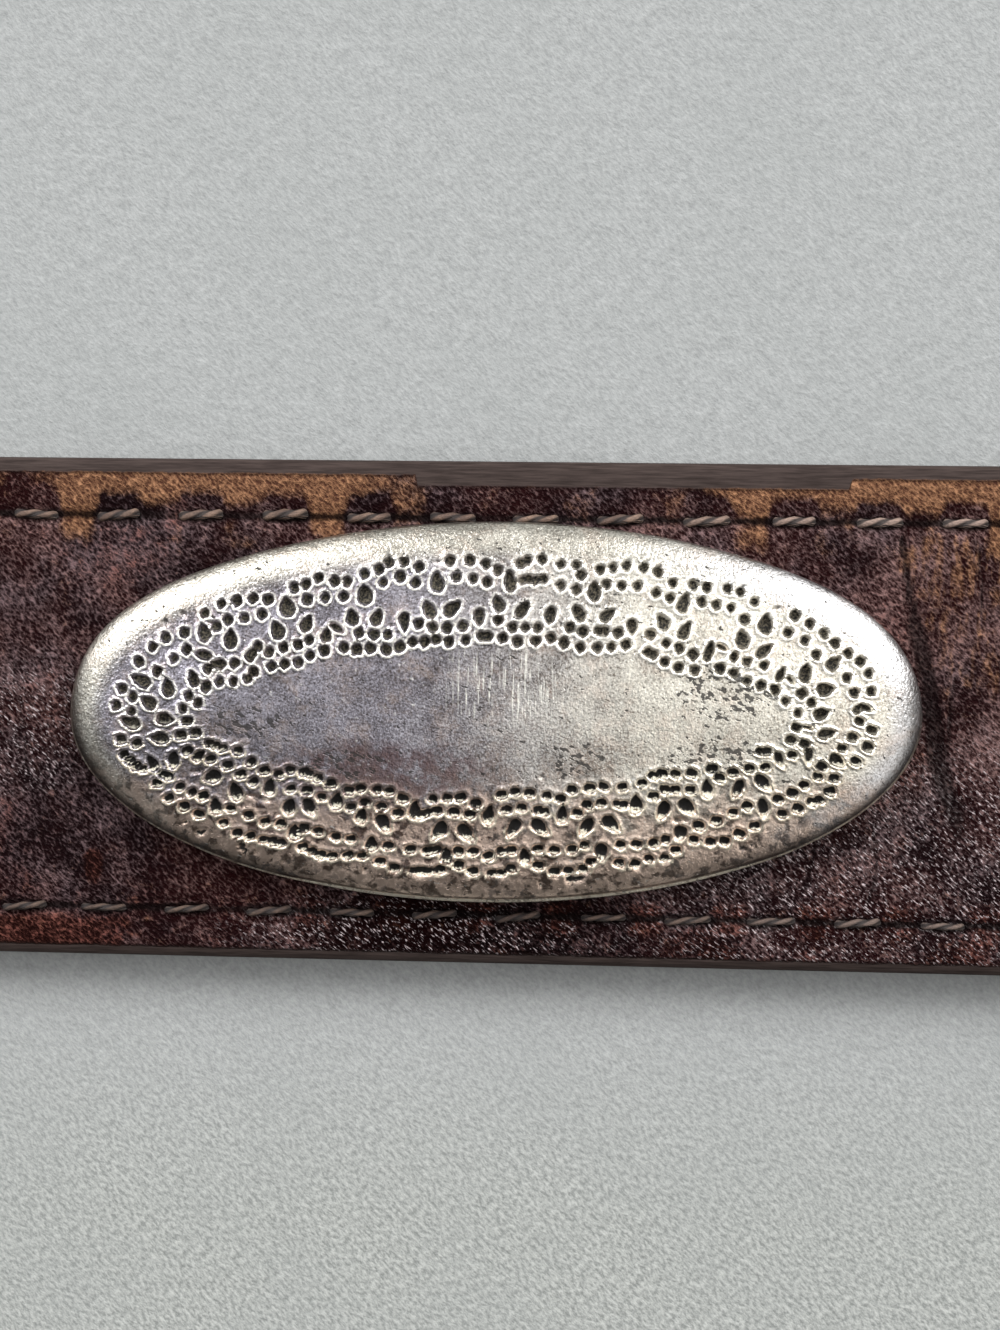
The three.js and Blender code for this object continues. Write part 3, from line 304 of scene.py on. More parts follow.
# Drops and leaves: where, which way the point looks in degrees, length and width
DROPS = (
    # The left end
    (-25.85, 2.65, 155, 1.65, 0.95), (-21.11, 6.18, 105, 1.4, 1.05), (-19.11, 5.73, 92, 1.5, 1.05),
    (-21.18, 4.55, 165, 1.5, 0.7), (-23.77, 2.15, 105, 1.45, 1.0), (-21.85, 2.8, 115, 1.3, 0.85),
    (-25.25, 1.05, 150, 1.35, 1.0), (-26.7, -0.45, 160, 1.7, 1.0), (-23.95, -0.15, -5, 1.4, 0.95),
    (-24.45, -1.6, 170, 1.55, 0.9), (-17.5, 4.64, 60, 1.2, 0.8), (-23.45, -3.3, 265, 1.5, 0.95),
    (-21.5, -2.85, 30, 1.2, 0.8), (-25.05, -3.5, 125, 1.5, 0.9), (-20.55, -4.45, 200, 1.5, 1.05),
    # Drops of the upper half, then its leaves
    (-14.93, 8.1, 100, 1.55, 1.2), (-9.18, 9.0, 95, 1.55, 1.2), (-3.84, 9.95, 92, 1.65, 1.1),
    (1.48, 10.0, 95, 1.65, 0.95), (7.65, 9.25, 88, 1.6, 1.0), (14.15, 8.4, 70, 1.65, 0.95),
    (20.1, 6.85, 80, 1.6, 1.1), (25.0, 4.0, 50, 1.4, 0.95), (-15.64, 6.41, 115, 1.45, 1.05),
    (-13.45, 6.86, 65, 1.4, 0.9), (-12.0, 6.0, 75, 1.2, 0.85), (-11.18, 6.52, -25, 1.3, 0.5),
    (-10.09, 7.32, 110, 1.35, 0.95), (-8.26, 7.32, 65, 1.35, 0.9), (-6.23, 6.95, 270, 1.55, 0.8),
    (-4.45, 7.9, 115, 1.5, 1.0), (-2.7, 7.97, 45, 1.6, 0.95), (-0.75, 7.35, 270, 1.35, 0.9),
    (0.66, 8.33, 115, 1.35, 0.95), (2.43, 7.9, 55, 1.55, 0.9), (4.43, 7.4, 265, 1.4, 0.95),
    (6.5, 7.65, 120, 1.45, 0.95), (8.6, 7.5, 40, 1.45, 0.85), (10.4, 6.6, 265, 1.3, 0.9),
    (12.6, 7.0, 115, 1.45, 0.95), (14.23, 6.38, 55, 1.6, 0.9), (16.0, 4.85, 75, 1.65, 0.7),
    (17.0, 5.12, -25, 1.2, 0.42), (18.38, 5.75, 100, 1.45, 1.1), (19.95, 4.9, 35, 1.5, 0.8),
    # The right end
    (21.15, 3.2, 60, 1.25, 0.7), (21.9, 2.75, -45, 0.95, 0.45), (22.95, 3.3, 82, 1.5, 0.95),
    (24.4, 2.1, 10, 1.4, 1.0), (24.1, 0.36, 20, 1.3, 0.9), (26.75, 0.7, 60, 1.0, 0.7),
    (27.35, 0.75, -25, 1.3, 0.5), (23.1, -0.62, -10, 1.0, 0.35), (24.5, -1.1, 15, 1.5, 0.8),
    (21.1, -3.0, 290, 1.35, 0.75), (23.2, -2.75, 275, 1.4, 0.75), (25.3, -3.1, 320, 1.5, 1.0),
    # Drops of the lower half, then its leaves
    (-20.35, -6.65, 100, 1.4, 1.0), (-14.45, -8.55, 90, 1.35, 1.1), (-8.75, -9.35, 90, 1.3, 1.05),
    (-3.2, -10.2, 100, 1.4, 1.0), (2.57, -10.2, 95, 1.5, 0.88), (8.22, -9.9, 270, 1.45, 1.0),
    (13.95, -8.45, 250, 1.25, 1.05), (19.97, -6.6, 285, 1.6, 0.85), (-18.78, -5.5, 110, 1.5, 1.05),
    (-16.25, -5.15, 75, 1.5, 0.95), (-14.8, -6.6, 70, 1.35, 1.0), (-13.3, -6.7, 300, 1.6, 0.95),
    (-11.25, -6.15, 80, 1.4, 1.0), (-9.42, -7.25, 80, 1.35, 0.9), (-7.82, -7.85, 300, 1.65, 1.05),
    (-5.5, -6.8, 85, 1.5, 0.95), (-3.75, -8.4, 235, 1.75, 1.05), (-1.72, -8.55, 315, 1.75, 1.05),
    (-0.05, -7.15, 78, 1.65, 0.95), (1.72, -8.15, 235, 1.7, 0.95), (3.72, -8.05, 315, 1.75, 0.95),
    (5.35, -7.0, 85, 1.7, 0.85), (7.05, -8.05, 240, 1.65, 0.95), (8.93, -7.8, 315, 1.75, 1.0),
    (10.72, -6.3, 88, 1.6, 1.05), (12.7, -6.8, 250, 1.65, 0.95), (14.47, -6.5, 315, 1.65, 1.0),
    (15.87, -5.1, 90, 1.55, 0.9), (18.1, -5.15, 245, 1.55, 0.85), (19.97, -4.7, 318, 1.65, 0.95),
)
# Marks that were struck lightly: where, direction, length and width
FAINT = (
    (-22.75, 7.52, 0, 0.6, 0.6), (-24.09, 6.95, 0, 0.7, 0.5), (-20.7, 6.86, 0, 0.5, 0.5),
    (20.9, 7.9, 0, 0.65, 0.6), (-7.25, 6.6, 0, 0.45, 0.4), (5.23, 6.73, 0, 0.4, 0.4),
    (-3.8, 11.32, 0, 0.6, 0.35), (-21.65, -4.05, 20, 1.2, 0.5), (-17.0, -6.05, -15, 1.9, 0.6),
    (13.9, -7.5, 0, 1.2, 0.6),
)
# Black stains and nicks: where, direction, length and width
STAINS = (
    (-22.8, -8.0, 10, 0.6, 0.25), (-21.6, -8.65, 10, 1.0, 0.45), (-20.3, -9.8, 0, 0.6, 0.4),
    (-18.4, -9.8, -40, 1.1, 0.6), (-18.3, -10.4, 90, 0.8, 0.5), (-17.3, -10.3, -15, 0.9, 0.3),
    (-16.4, -10.7, 10, 0.8, 0.35), (-15.45, -10.8, 75, 0.9, 0.4), (-9.4, -11.4, 30, 0.6, 0.4),
    (6.3, -12.0, 0, 1.9, 0.42), (5.95, -12.6, 40, 0.8, 0.25), (7.5, -12.3, -10, 0.9, 0.2),
    (18.45, -9.6, -10, 1.1, 0.4), (19.2, -9.4, 60, 0.5, 0.25), (19.8, -9.25, 20, 0.6, 0.25),
    (20.3, -8.2, 20, 0.5, 0.25), (4.0, -4.4, -50, 0.6, 0.35), (3.7, -12.4, 80, 0.7, 0.3),
)

# Clusters of black nicks on the concho: where, and how far each reaches
NICK_CLUSTERS = ((16.8, 2.1, 4, 2.2), (16.5, -2.4, 3.6, 1.3), (6.5, -2.9, 2.2, 1.6), (-17.8, -0.6, 3.4, 1.4),
                 (-10.5, -3.5, 4, 1.1))

# The concho's post, a slotted head and a shank
POST_SIDES = 64
POST_HEAD_DIAMETER = 10
POST_HEAD_HEIGHT = 0.9
POST_SHANK_DIAMETER = 5
POST_GAP = 0.3
POST_SLOT = (12, 1.2, 1.0)
POST_HOLE_DIAMETER = 5.6
HEAD_RECESS_DIAMETER = 10.6

# The buckle
BUCKLE_REACH = 38
BUCKLE_HALF_WIDTH = 23.2
RAIL_SIDES = 20
RAIL_WIDTH = 5.4
RAIL_HEIGHT = 3.8
BAR_DIAMETER = 4
BUCKLE_CORNER = 9
NEAR_CORNER = 3
PRONG_SIDES = 20
PRONG_DIAMETER = 3.6
PRONG_STOP = 0.8
PRONG_SINK = 0.4
PRONG_STEPS = 24
# How high the prong starts and humps over the bar, where along it humps and bends, and how its tip ends
PRONG_START = 1.4
PRONG_HUMP = 2.0
PRONG_HUMP_AT = 6
PRONG_BEND_AT = 20
PRONG_BEND_SHARE = 0.6
PRONG_REST_LENGTH = 4
PRONG_TIP_DROP = 0.3
PRONG_TIP_LENGTH = 2.2
PRONG_TIP_SLIMMER = 0.45
EYE_SIDES = 40
EYE_DIAMETER = 7.4
EYE_WIDTH = 6.4

# The set: the floor's size, the lamps' size and the clip range in metres, turns in degrees, colours as light
FLOOR_SIZE = 14
FLOOR_DROP = 0.02
SOFT_BOX_SIZE = (0.8, 0.6)
SOFT_BOX_WATTS = 15
COOL_LIGHT = (0.94, 0.96, 1.0, 1)
WARM_LIGHT = (1.0, 0.98, 0.95, 1)
CAMERA_SENSOR = 36
CAMERA_LENS = 46.1
CAMERA_CLIP = (0.01, 100)
CAMERA_PLACE = (7.0, 8.2, 131.6)
CAMERA_TURN = (-1.96, 2.92, 0.79)
# A reach in Z that takes in every height
ANY_HEIGHT = 1000


def srgb(red, green, blue):
    """A colour given as 0 to 255 values, as the linear colour that a shader takes."""
    share = [c / 255 for c in (red, green, blue)]
    linear = [c / 12.92 if c <= 0.04045 else ((c + 0.055) / 1.055) ** 2.4 for c in share]
    return (*linear, 1)


def smoothstep(low, high, value):
    share = np.clip((value - low) / (high - low), 0, 1)
    return share * share * (3 - 2 * share)


def bell(value, reach):
    """1 where the value is nought, falling away on both sides of it."""
    return np.exp(-(value / reach) ** 2)


def ripple(x, y, size, seed):
    """Soft rolling waves of about that size, roughly from -1 to 1."""
    draw = np.random.default_rng(seed)
    total = 0
    for _ in range(WAVES):
        heading = draw.uniform(0, 2 * math.pi)
        length = size * draw.uniform(*WAVE_LENGTHS)
        phase = draw.uniform(0, 2 * math.pi)
        total = total + np.sin(2 * math.pi * (x * math.cos(heading) + y * math.sin(heading)) / length + phase)
    return total / WAVE_DAMPING


# Modelling by hand

def pick_nothing():
    bpy.ops.object.select_all(action="DESELECT")


def pick(*pieces):
    pick_nothing()
    for piece in pieces:
        piece.select_set(True)
    bpy.context.view_layer.objects.active = pieces[0]


@contextmanager
def editing(obj):
    """Edit mode on one piece, with all its edges selected."""
    pick(obj)
    bpy.ops.object.mode_set(mode="EDIT")
    bpy.ops.mesh.select_mode(type="EDGE")
    bpy.ops.mesh.select_all(action="SELECT")
    yield
    bpy.ops.object.mode_set(mode="OBJECT")


def new_piece(name):
    """Names the primitive that was just added and applies its place."""
    obj = bpy.context.active_object
    obj.name = name
    obj.data.name = name
    apply_place(obj)
    return obj


def apply_place(obj):
    pick(obj)
    bpy.ops.object.transform_apply(location=True, rotation=True, scale=True)


def add_cylinder(name, sides, diameter, length, middle=(0, 0, 0), turn=(0, 0, 0)):
    bpy.ops.mesh.primitive_cylinder_add(vertices=sides, radius=diameter / 2 * MM, depth=length * MM,
                                        location=[c * MM for c in middle], rotation=turn)
    return new_piece(name)


def add_ring(name, sides, middle, turn, reach):
    """An oval ring of edges, by its reach each way from its middle."""
    bpy.ops.mesh.primitive_circle_add(vertices=sides, radius=1, fill_type="NOTHING",
                                      location=[c * MM for c in middle], rotation=turn)
    bpy.context.active_object.scale = (reach[0] * MM, reach[1] * MM, 1)
    return new_piece(name)


def round_cutter(diameter, heights, x=0):
    bottom, top = heights
    return add_cylinder("cutter", CUTTER_SIDES, diameter, top - bottom, (x, 0, (bottom + top) / 2))


def box_cutter(size, x=0):
    bpy.ops.mesh.primitive_cube_add(size=1, location=(x * MM, 0, 0), scale=[c * MM for c in size])
    return new_piece("cutter")


def corners(obj):
    """Every vertex of a piece as rows of millimetres."""
    flat = np.zeros(len(obj.data.vertices) * 3)
    obj.data.vertices.foreach_get("co", flat)
    return flat.reshape(-1, 3) / MM


def place_corners(obj, points):
    obj.data.vertices.foreach_set("co", (np.asarray(points) * MM).ravel())
    obj.data.update()


def mark(obj, name, values):
    """Keeps one number for each vertex, for the material to read."""
    kept = obj.data.attributes.new(name, "FLOAT", "POINT")
    kept.data.foreach_set("value", np.asarray(values, np.float32).ravel())


def bisect(x):
    bpy.ops.mesh.select_all(action="SELECT")
    bpy.ops.mesh.bisect(plane_co=(x * MM, 0, 0), plane_no=(1, 0, 0))


def close_and_face_outwards(obj, merge=0.002):
    with editing(obj):
        bpy.ops.mesh.remove_doubles(threshold=merge * MM)
        bpy.ops.mesh.select_all(action="DESELECT")
        bpy.ops.mesh.select_non_manifold(extend=False, use_wire=False, use_boundary=True,
                                         use_multi_face=False, use_non_contiguous=False, use_verts=False)
        bpy.ops.mesh.edge_face_add()
        bpy.ops.mesh.select_all(action="SELECT")
        bpy.ops.mesh.normals_make_consistent(inside=False)


def smooth(obj, degrees):
    """Shades the piece smooth, apart from edges that turn by more than the angle."""
    pick(obj)
    bpy.ops.object.shade_smooth_by_angle(angle=math.radians(degrees))


def smooth_all(obj):
    pick(obj)
    bpy.ops.object.shade_smooth()


def apply_modifier(obj, kind, **settings):
    pick(obj)
    modifier = obj.modifiers.new(kind.lower(), kind)
    for key, value in settings.items():
        setattr(modifier, key, value)
    bpy.ops.object.modifier_apply(modifier=modifier.name)


def round_edges(obj, radius, segments, degrees):
    apply_modifier(obj, "BEVEL", width=radius * MM, segments=segments, limit_method="ANGLE",
                   angle_limit=math.radians(degrees))


def cut(obj, cutter):
    """Cuts one solid out of another."""
    apply_modifier(obj, "BOOLEAN", operation="DIFFERENCE", object=cutter, solver="MANIFOLD")
    bpy.data.objects.remove(cutter)


def join(name, pieces):
    pick(*pieces)
    bpy.ops.object.join()
    return new_piece(name)


# Where the strap's outline and its rows of stitches run

def strap_stations():
    """Flat places along the strap, from the end of the folded tail to the start of the round tip."""
    return np.concatenate([
        np.arange(FOLD_END_X - TAIL_LENGTH, FOLD_END_X - 1, TAIL_STEP),
        np.arange(FOLD_END_X, BAR_X, FOLD_STEP),
        np.arange(BAR_X, BAR_X + RISE_LENGTH, RISE_STEP),
        np.arange(BAR_X + RISE_LENGTH, -FINE_REACH, FACE_STEP),
        np.arange(-FINE_REACH, FINE_REACH, FINE_STEP),
        np.arange(FINE_REACH, TIP_X - TIP_LENGTH, FACE_STEP)])


def outline(stations):
    """The strap's edge on the near side: place and inward direction for each station and tip step."""
    angle = (np.arange(TIP_STEPS + 1) / TIP_STEPS) * math.pi / 2
    lean = np.stack([np.sin(angle) / TIP_LENGTH, np.cos(angle) / HALF_WIDTH])
    lean = lean / np.linalg.norm(lean, axis=0)
    x = np.concatenate([stations, TIP_X - TIP_LENGTH + TIP_LENGTH * np.sin(angle)])
    y = np.concatenate([np.full(len(stations), -HALF_WIDTH), -HALF_WIDTH * np.cos(angle)])
    in_x = np.concatenate([np.zeros(len(stations)), -lean[0]])
    in_y = np.concatenate([np.ones(len(stations)), lean[1]])
    return x, y, in_x, in_y


def row_inset(side, count, stations_count):
    """The row's distance from the edge at each station. Round the tip the two sides' rows meet."""
    middle = (ROW_INSET["far"] + ROW_INSET["near"]) / 2
    turn = np.clip((np.arange(count) - stations_count) / TIP_STEPS, 0, 1)
    return ROW_INSET[side] + (middle - ROW_INSET[side]) * smoothstep(0, 1, turn)


class Rows:
    """Counts the stitches along each edge and round the tip."""

    def __init__(self, stations):
        self.x, self.y, self.in_x, self.in_y = outline(stations)
        self.inset = {side: row_inset(side, len(self.x), len(stations)) for side in ROW_INSET}
        run = {}
        last = {}
        joint = {}
        for side in ROW_INSET:
            path_x, path_y = self.path(side)
            step = np.hypot(np.diff(path_x), np.diff(path_y))
            run[side] = np.concatenate([[0], np.cumsum(step)]) + path_x[0]
            last[side] = math.floor((TIP_X - TIP_LENGTH - ROW_START[side]) / PITCH)
            joint[side] = ROW_START[side] + last[side] * PITCH
        round_tip = sum(run[side][-1] - joint[side] for side in ROW_INSET)
        tip_pitch = round_tip / round(round_tip / PITCH)
        self.beat = {}
        for side in ROW_INSET:
            along_edge = (run[side] - ROW_START[side]) / PITCH
            round_the_tip = last[side] + (run[side] - joint[side]) / tip_pitch
            self.beat[side] = np.where(run[side] < joint[side], along_edge, round_the_tip)

    def path(self, side):
        """Where the row runs, if it were on the near side."""
        return self.x + self.in_x * self.inset[side], self.y + self.in_y * self.inset[side]

    def places(self, side):
        """The middle of each stitch on a side: x, y and heading. The near side also takes the tip's own."""
        first = math.ceil((FIRST_STITCH_X - ROW_START[side]) / PITCH)
        reach = self.beat[side][-1] + (TIP_TOLERANCE if side == "near" else -TIP_TOLERANCE)
        stations = np.arange(len(self.x))
        at = np.interp(np.arange(first, math.floor(reach) + 1), self.beat[side], stations)
        path_x, path_y = self.path(side)
        path_y = path_y * (-1 if side == "far" else 1)

        def point(station):
            return np.interp(station, stations, path_x), np.interp(station, stations, path_y)

        x, y = point(at)
        ahead_x, ahead_y = point(at + 0.5)
        back_x, back_y = point(at - 0.5)
        return list(zip(x, y, np.arctan2(ahead_y - back_y, ahead_x - back_x)))


# The two leather layers

def folded(x, y, height):
    """Where a point of the face leather ends up. It lies flat, rises to the bar, turns and comes back."""
    rise = BAR_HEIGHT + FOLD_RADIUS - FACE_BOTTOM
    share = np.clip((BAR_X + RISE_LENGTH - x) / RISE_LENGTH, 0, 1)
    base = FACE_BOTTOM + rise * share * share * (3 - 2 * share)
    slope = -rise * 6 * share * (1 - share) / RISE_LENGTH
    length = np.hypot(slope, 1)
    flat = np.stack([x - slope / length * height, y, base + height / length], -1)
    turned = np.clip((BAR_X - x) / FOLD_RADIUS, 0, math.pi)
    radius = FOLD_RADIUS + height * (1 + (TAIL_SKIVE - 1) * turned / math.pi)
    bent = np.stack([BAR_X - radius * np.sin(turned), y, BAR_HEIGHT + radius * np.cos(turned)], -1)
    tail = np.stack([BAR_X + (FOLD_END_X - x), y, TAIL_TOP - height * TAIL_SKIVE], -1)
    chosen = np.where((x >= BAR_X)[..., None], flat, bent)
    return np.where((x < FOLD_END_X)[..., None], tail, chosen)


def left_flat(x, y, height):
    return np.stack([x, y, height], -1)


def lay_strap(name, stations, under, top, middle_columns, relief, place):
    """Models a strap layer: a grid is wrapped round the layer's section, from the middle of the underside
    over one edge, across the top and back under, and closed at its ends."""
    rows = Rows(stations)
    section = under + top
    columns = 2 * len(section) + middle_columns
    count = len(rows.x)
    bpy.ops.mesh.primitive_grid_add(x_subdivisions=columns, y_subdivisions=count - 1, size=1)
    obj = new_piece(name)
    tables = np.zeros((6, count, columns + 1))
    x, y, height, inset, beat, from_row = tables

    def raise_column(column, side, base, on_top):
        beat[:, column] = np.cos(2 * math.pi * rows.beat[side])
        from_row[:, column] = inset[:, column] - rows.inset[side]
        height[:, column] = base + relief(x[:, column], y[:, column], inset[:, column], from_row[:, column],
                                          beat[:, column], on_top)

    for side in ROW_INSET:
        for j, (inwards, base) in enumerate(section):
            column = j if side == "near" else columns - 1 - j
            x[:, column] = rows.x + rows.in_x * inwards
            y[:, column] = (rows.y + rows.in_y * inwards) * (1 if side == "near" else -1)
            inset[:, column] = inwards
            raise_column(column, side, base, j >= len(under))
    left, right = len(section) - 1, columns - len(section)
    innermost, crown = section[-1]
    for m in range(middle_columns):
        share = (m + 1) / (middle_columns + 1)
        column = len(section) + m
        x[:, column] = x[:, left] + (x[:, right] - x[:, left]) * share
        y[:, column] = y[:, left] + (y[:, right] - y[:, left]) * share
        inset[:, column] = innermost + np.minimum(np.abs(y[:, left] - y[:, column]),
                                                  np.abs(y[:, right] - y[:, column]))
        raise_column(column, "near" if share <= 0.5 else "far", crown, True)
    tables[:, :, columns] = tables[:, :, 0]
    place_corners(obj, place(x, y, height).reshape(-1, 3))
    mark(obj, "inset", inset)
    mark(obj, "beat", beat)
    mark(obj, "from_row", from_row)
    mark(obj, "crease", crease_depth(x, y))
    close_and_face_outwards(obj)
    return obj, rows


def crease_depth(x, y):
    """How deep the creases press the leather at each place."""
    depth = np.zeros(np.shape(x))
    for path, width, deepest in CREASES:
        for (ax, ay), (bx, by) in zip(path, path[1:]):
            run_x, run_y = bx - ax, by - ay
            share = np.clip(((x - ax) * run_x + (y - ay) * run_y) / (run_x ** 2 + run_y ** 2), 0, 1)
            away = np.hypot(x - ax - share * run_x, y - ay - share * run_y)
            depth = np.maximum(depth, deepest * bell(away, width))
    return depth


def face_relief(x, y, inset, from_row, wave, on_top):
    """The leather is pulled down beside each stitch, puffs up between stitches and rolls a little."""
    if not on_top:
        return 0
    lies_flat = smoothstep(BAR_X, BAR_X + RISE_LENGTH, x)
    clear = smoothstep(*EDGE_FADE, inset)
    dip = -STITCH_DIP[0] * np.clip(wave, 0, 1) * bell(from_row, STITCH_DIP[1])
    puff = PUFF[0] * np.clip(-wave, 0, 1) * (bell(from_row - PUFF_OFFSET, PUFF[1])
                                             + bell(from_row + PUFF_OFFSET, PUFF[1]))
    channel = -FACE_CHANNEL[0] * bell(from_row, FACE_CHANNEL[1])
    rolling = sum(high * ripple(x, y, size, seed) for high, size, seed in ROLLS)
    rolling = rolling * smoothstep(*ROLL_FADE, inset)
    under_concho = (x / PRESSED_OVAL[0]) ** 2 + (y / PRESSED_OVAL[1]) ** 2
    pressed = -PRESSED_BY_CONCHO * smoothstep(*PRESSED_FADE, under_concho)
    return lies_flat * clear * (dip + puff + channel - crease_depth(x, y) + rolling) + pressed


def backing_relief(_x, _y, _inset, from_row, _wave, on_top):
    """The underside has a channel for the stitches."""
    return 0 if on_top else BACK_CHANNEL[0] * bell(from_row, BACK_CHANNEL[1])


def punch_prong_holes(layer):
    for i in range(-HOLES_EACH_SIDE, HOLES_EACH_SIDE + 1):
        cut(layer, round_cutter(HOLE_DIAMETER, THROUGH_STRAP, MIDDLE_HOLE_X + i * HOLE_SPACING))


def make_strap_face():
    obj, rows = lay_strap("face_leather", strap_stations(), FACE_UNDER, FACE_TOP, FACE_MIDDLE_COLUMNS,
                          face_relief, folded)
    punch_prong_holes(obj)
    bottom, top = THROUGH_FOLD
    cut(obj, box_cutter((PRONG_SLOT_REACH + PRONG_SLOT_PAST_BAR, PRONG_SLOT_WIDTH, top - bottom),
                        BAR_X + (PRONG_SLOT_REACH - PRONG_SLOT_PAST_BAR) / 2))
    cut(obj, round_cutter(PRONG_SLOT_WIDTH, THROUGH_FOLD, BAR_X + PRONG_SLOT_REACH))
    cut(obj, round_cutter(POST_HOLE_DIAMETER, THROUGH_FACE))
    smooth(obj, degrees=50)
    return obj, rows


def make_backing():
    stations = np.arange(BACKING_END_X, TIP_X - TIP_LENGTH, BACKING_STEP)
    obj, _ = lay_strap("backing_leather", stations, BACKING_UNDER, BACKING_TOP, BACKING_MIDDLE_COLUMNS,
                       backing_relief, left_flat)
    punch_prong_holes(obj)
    cut(obj, round_cutter(POST_HOLE_DIAMETER, THROUGH_BACKING))
    cut(obj, round_cutter(HEAD_RECESS_DIAMETER, HEAD_RECESS))
    smooth(obj, degrees=50)
    return obj


# Stitches

def make_one_stitch():
    """A short run of two-ply thread that arches out of one hole and into the next."""
    obj = add_cylinder("stitch", STITCH_SIDES, 2 * THREAD_RADIUS, STITCH_LENGTH, turn=(0, math.pi / 2, 0))
    with editing(obj):
        for share in STITCH_RINGS:
            bisect(share * STITCH_LENGTH)
    points = corners(obj)
    share = points[:, 0] / (STITCH_LENGTH / 2)
    turned = np.arctan2(points[:, 2], points[:, 1])
    wound = 1 + PLY_BULGE * np.cos(PLIES * (turned + 2 * math.pi * points[:, 0] / PLY_TURN))
    arch = STITCH_ARCH * (1 - share ** 2) - STITCH_DIVE * smoothstep(*DIVE_RANGE, np.abs(share))
    thinned = STITCH_THINNING * smoothstep(*THINNING_RANGE, np.abs(share))
    swell = wound * (1 + STITCH_SWELL * (1 - share ** 2) - thinned)
    longer, wider, higher = STITCH_SIZE
    points[:, 1] *= swell * wider
    points[:, 2] = points[:, 2] * swell * higher + arch
    points[:, 0] *= longer
    place_corners(obj, points)
    mark(obj, "along", points[:, 0])
    mark(obj, "round", turned / (2 * math.pi))
    smooth_all(obj)
    return obj


def sew(name, pattern, places, height, seed, upside_down=False, squash=1, slim=1):
    """One row: copies of the stitch at its places, each a little different."""
    draw = random.Random(seed)
    flip = Matrix.Rotation(math.pi if upside_down else 0, 4, "X")
    copies = []
    for x, y, heading in places:
        copy = pattern.copy()
        copy.data = pattern.data.copy()
        bpy.context.collection.objects.link(copy)
        turn = Matrix.Rotation(heading + math.radians(draw.gauss(*STITCH_TURN)), 4, "Z")
        fat = draw.uniform(*FATNESS)
        size = Matrix.Diagonal((draw.uniform(*STRETCH), fat * slim, fat * squash, 1))
        middle = (x + draw.gauss(0, STRAY_ALONG), y + draw.gauss(0, STRAY_ASIDE),
                  height + draw.uniform(*LIFT))
        copy.data.transform(Matrix.Translation(Vector(middle) * MM) @ turn @ flip @ size)
        copies.append(copy)
    return join(name, copies)


# The concho

def concho_height(inset):
    """Height of the concho's face over its base, by distance inwards from its outline."""
    edge = 1 - np.minimum(inset / RIM_EDGE, 1)
    roll = 1 - np.minimum(inset / RIM_ROLL, 1)
    dome = 1 - np.minimum(inset / CONCHO_HALF_WIDTH, 1)
    rim = RIM_EDGE_HEIGHT * np.sqrt(1 - edge * edge) + RIM_ROLL_HEIGHT * np.sqrt(1 - roll * roll)
    return rim + DOME_RISE * (1 - dome * dome)


def face_height(inset, angle):
    """The same height, with the thin flat lip that the lower edge has at the foot of the roll."""
    lip = LIP_HEIGHT * np.sqrt(np.clip(1 - (1 - np.minimum(inset / LIP_ROUND, 1)) ** 2, 0, 1))
    wall = smoothstep(LIP_WIDTH, LIP_WIDTH + LIP_TO_WALL, inset)
    with_lip = lip + (concho_height(inset) - lip) * wall
    aside = np.abs(np.cos(angle) - LIP_MIDDLE)
    share = smoothstep(*LIP_FADE_DOWN, np.sin(angle)) * smoothstep(*LIP_FADE_ASIDE, aside)
    return concho_height(inset) * (1 - share) + with_lip * share


def bulge(angle):
    """How far the outline stands out in Y at an angle of the oval."""
    along = np.cos(angle)
    up = np.maximum(np.sin(angle), 0)
    shoulder = np.where(along < 0, LEFT_SHOULDER, RIGHT_SHOULDER)
    return up * (TOP_BULGE + shoulder * np.abs(along) ** 5 / SHOULDER_PEAK)


def teardrop(length, width):
    """Outline of a drop with its point towards +Y."""
    half = []
    for i in range(DROP_STEPS + 1):
        t = i / DROP_STEPS
        t = t * t * (3 - 2 * t)
        half.append((width / 2 * (t ** 0.5) * ((1 - t) ** 0.85) / DROP_FULLNESS, length * (t - 0.5)))
    return [(-u, v) for u, v in half] + [(u, v) for u, v in reversed(half[1:-1])]


def oval(length, width):
    angles = [2 * math.pi * i / OVAL_SIDES for i in range(OVAL_SIDES)]
    return [(length / 2 * math.cos(angle), width / 2 * math.sin(angle)) for angle in angles]


def dot_outline(size):
    """Outline of a dot, round but a little squared."""
    ring = []
    for i in range(DOT_SIDES):
        angle = 2 * math.pi * i / DOT_SIDES + 0.2
        across, up = math.cos(angle), math.sin(angle)
        reach = size / 2 / (abs(across) ** DOT_SQUARENESS + abs(up) ** DOT_SQUARENESS) ** (1 / DOT_SQUARENESS)
        ring.append((reach * across, reach * up))
    return ring


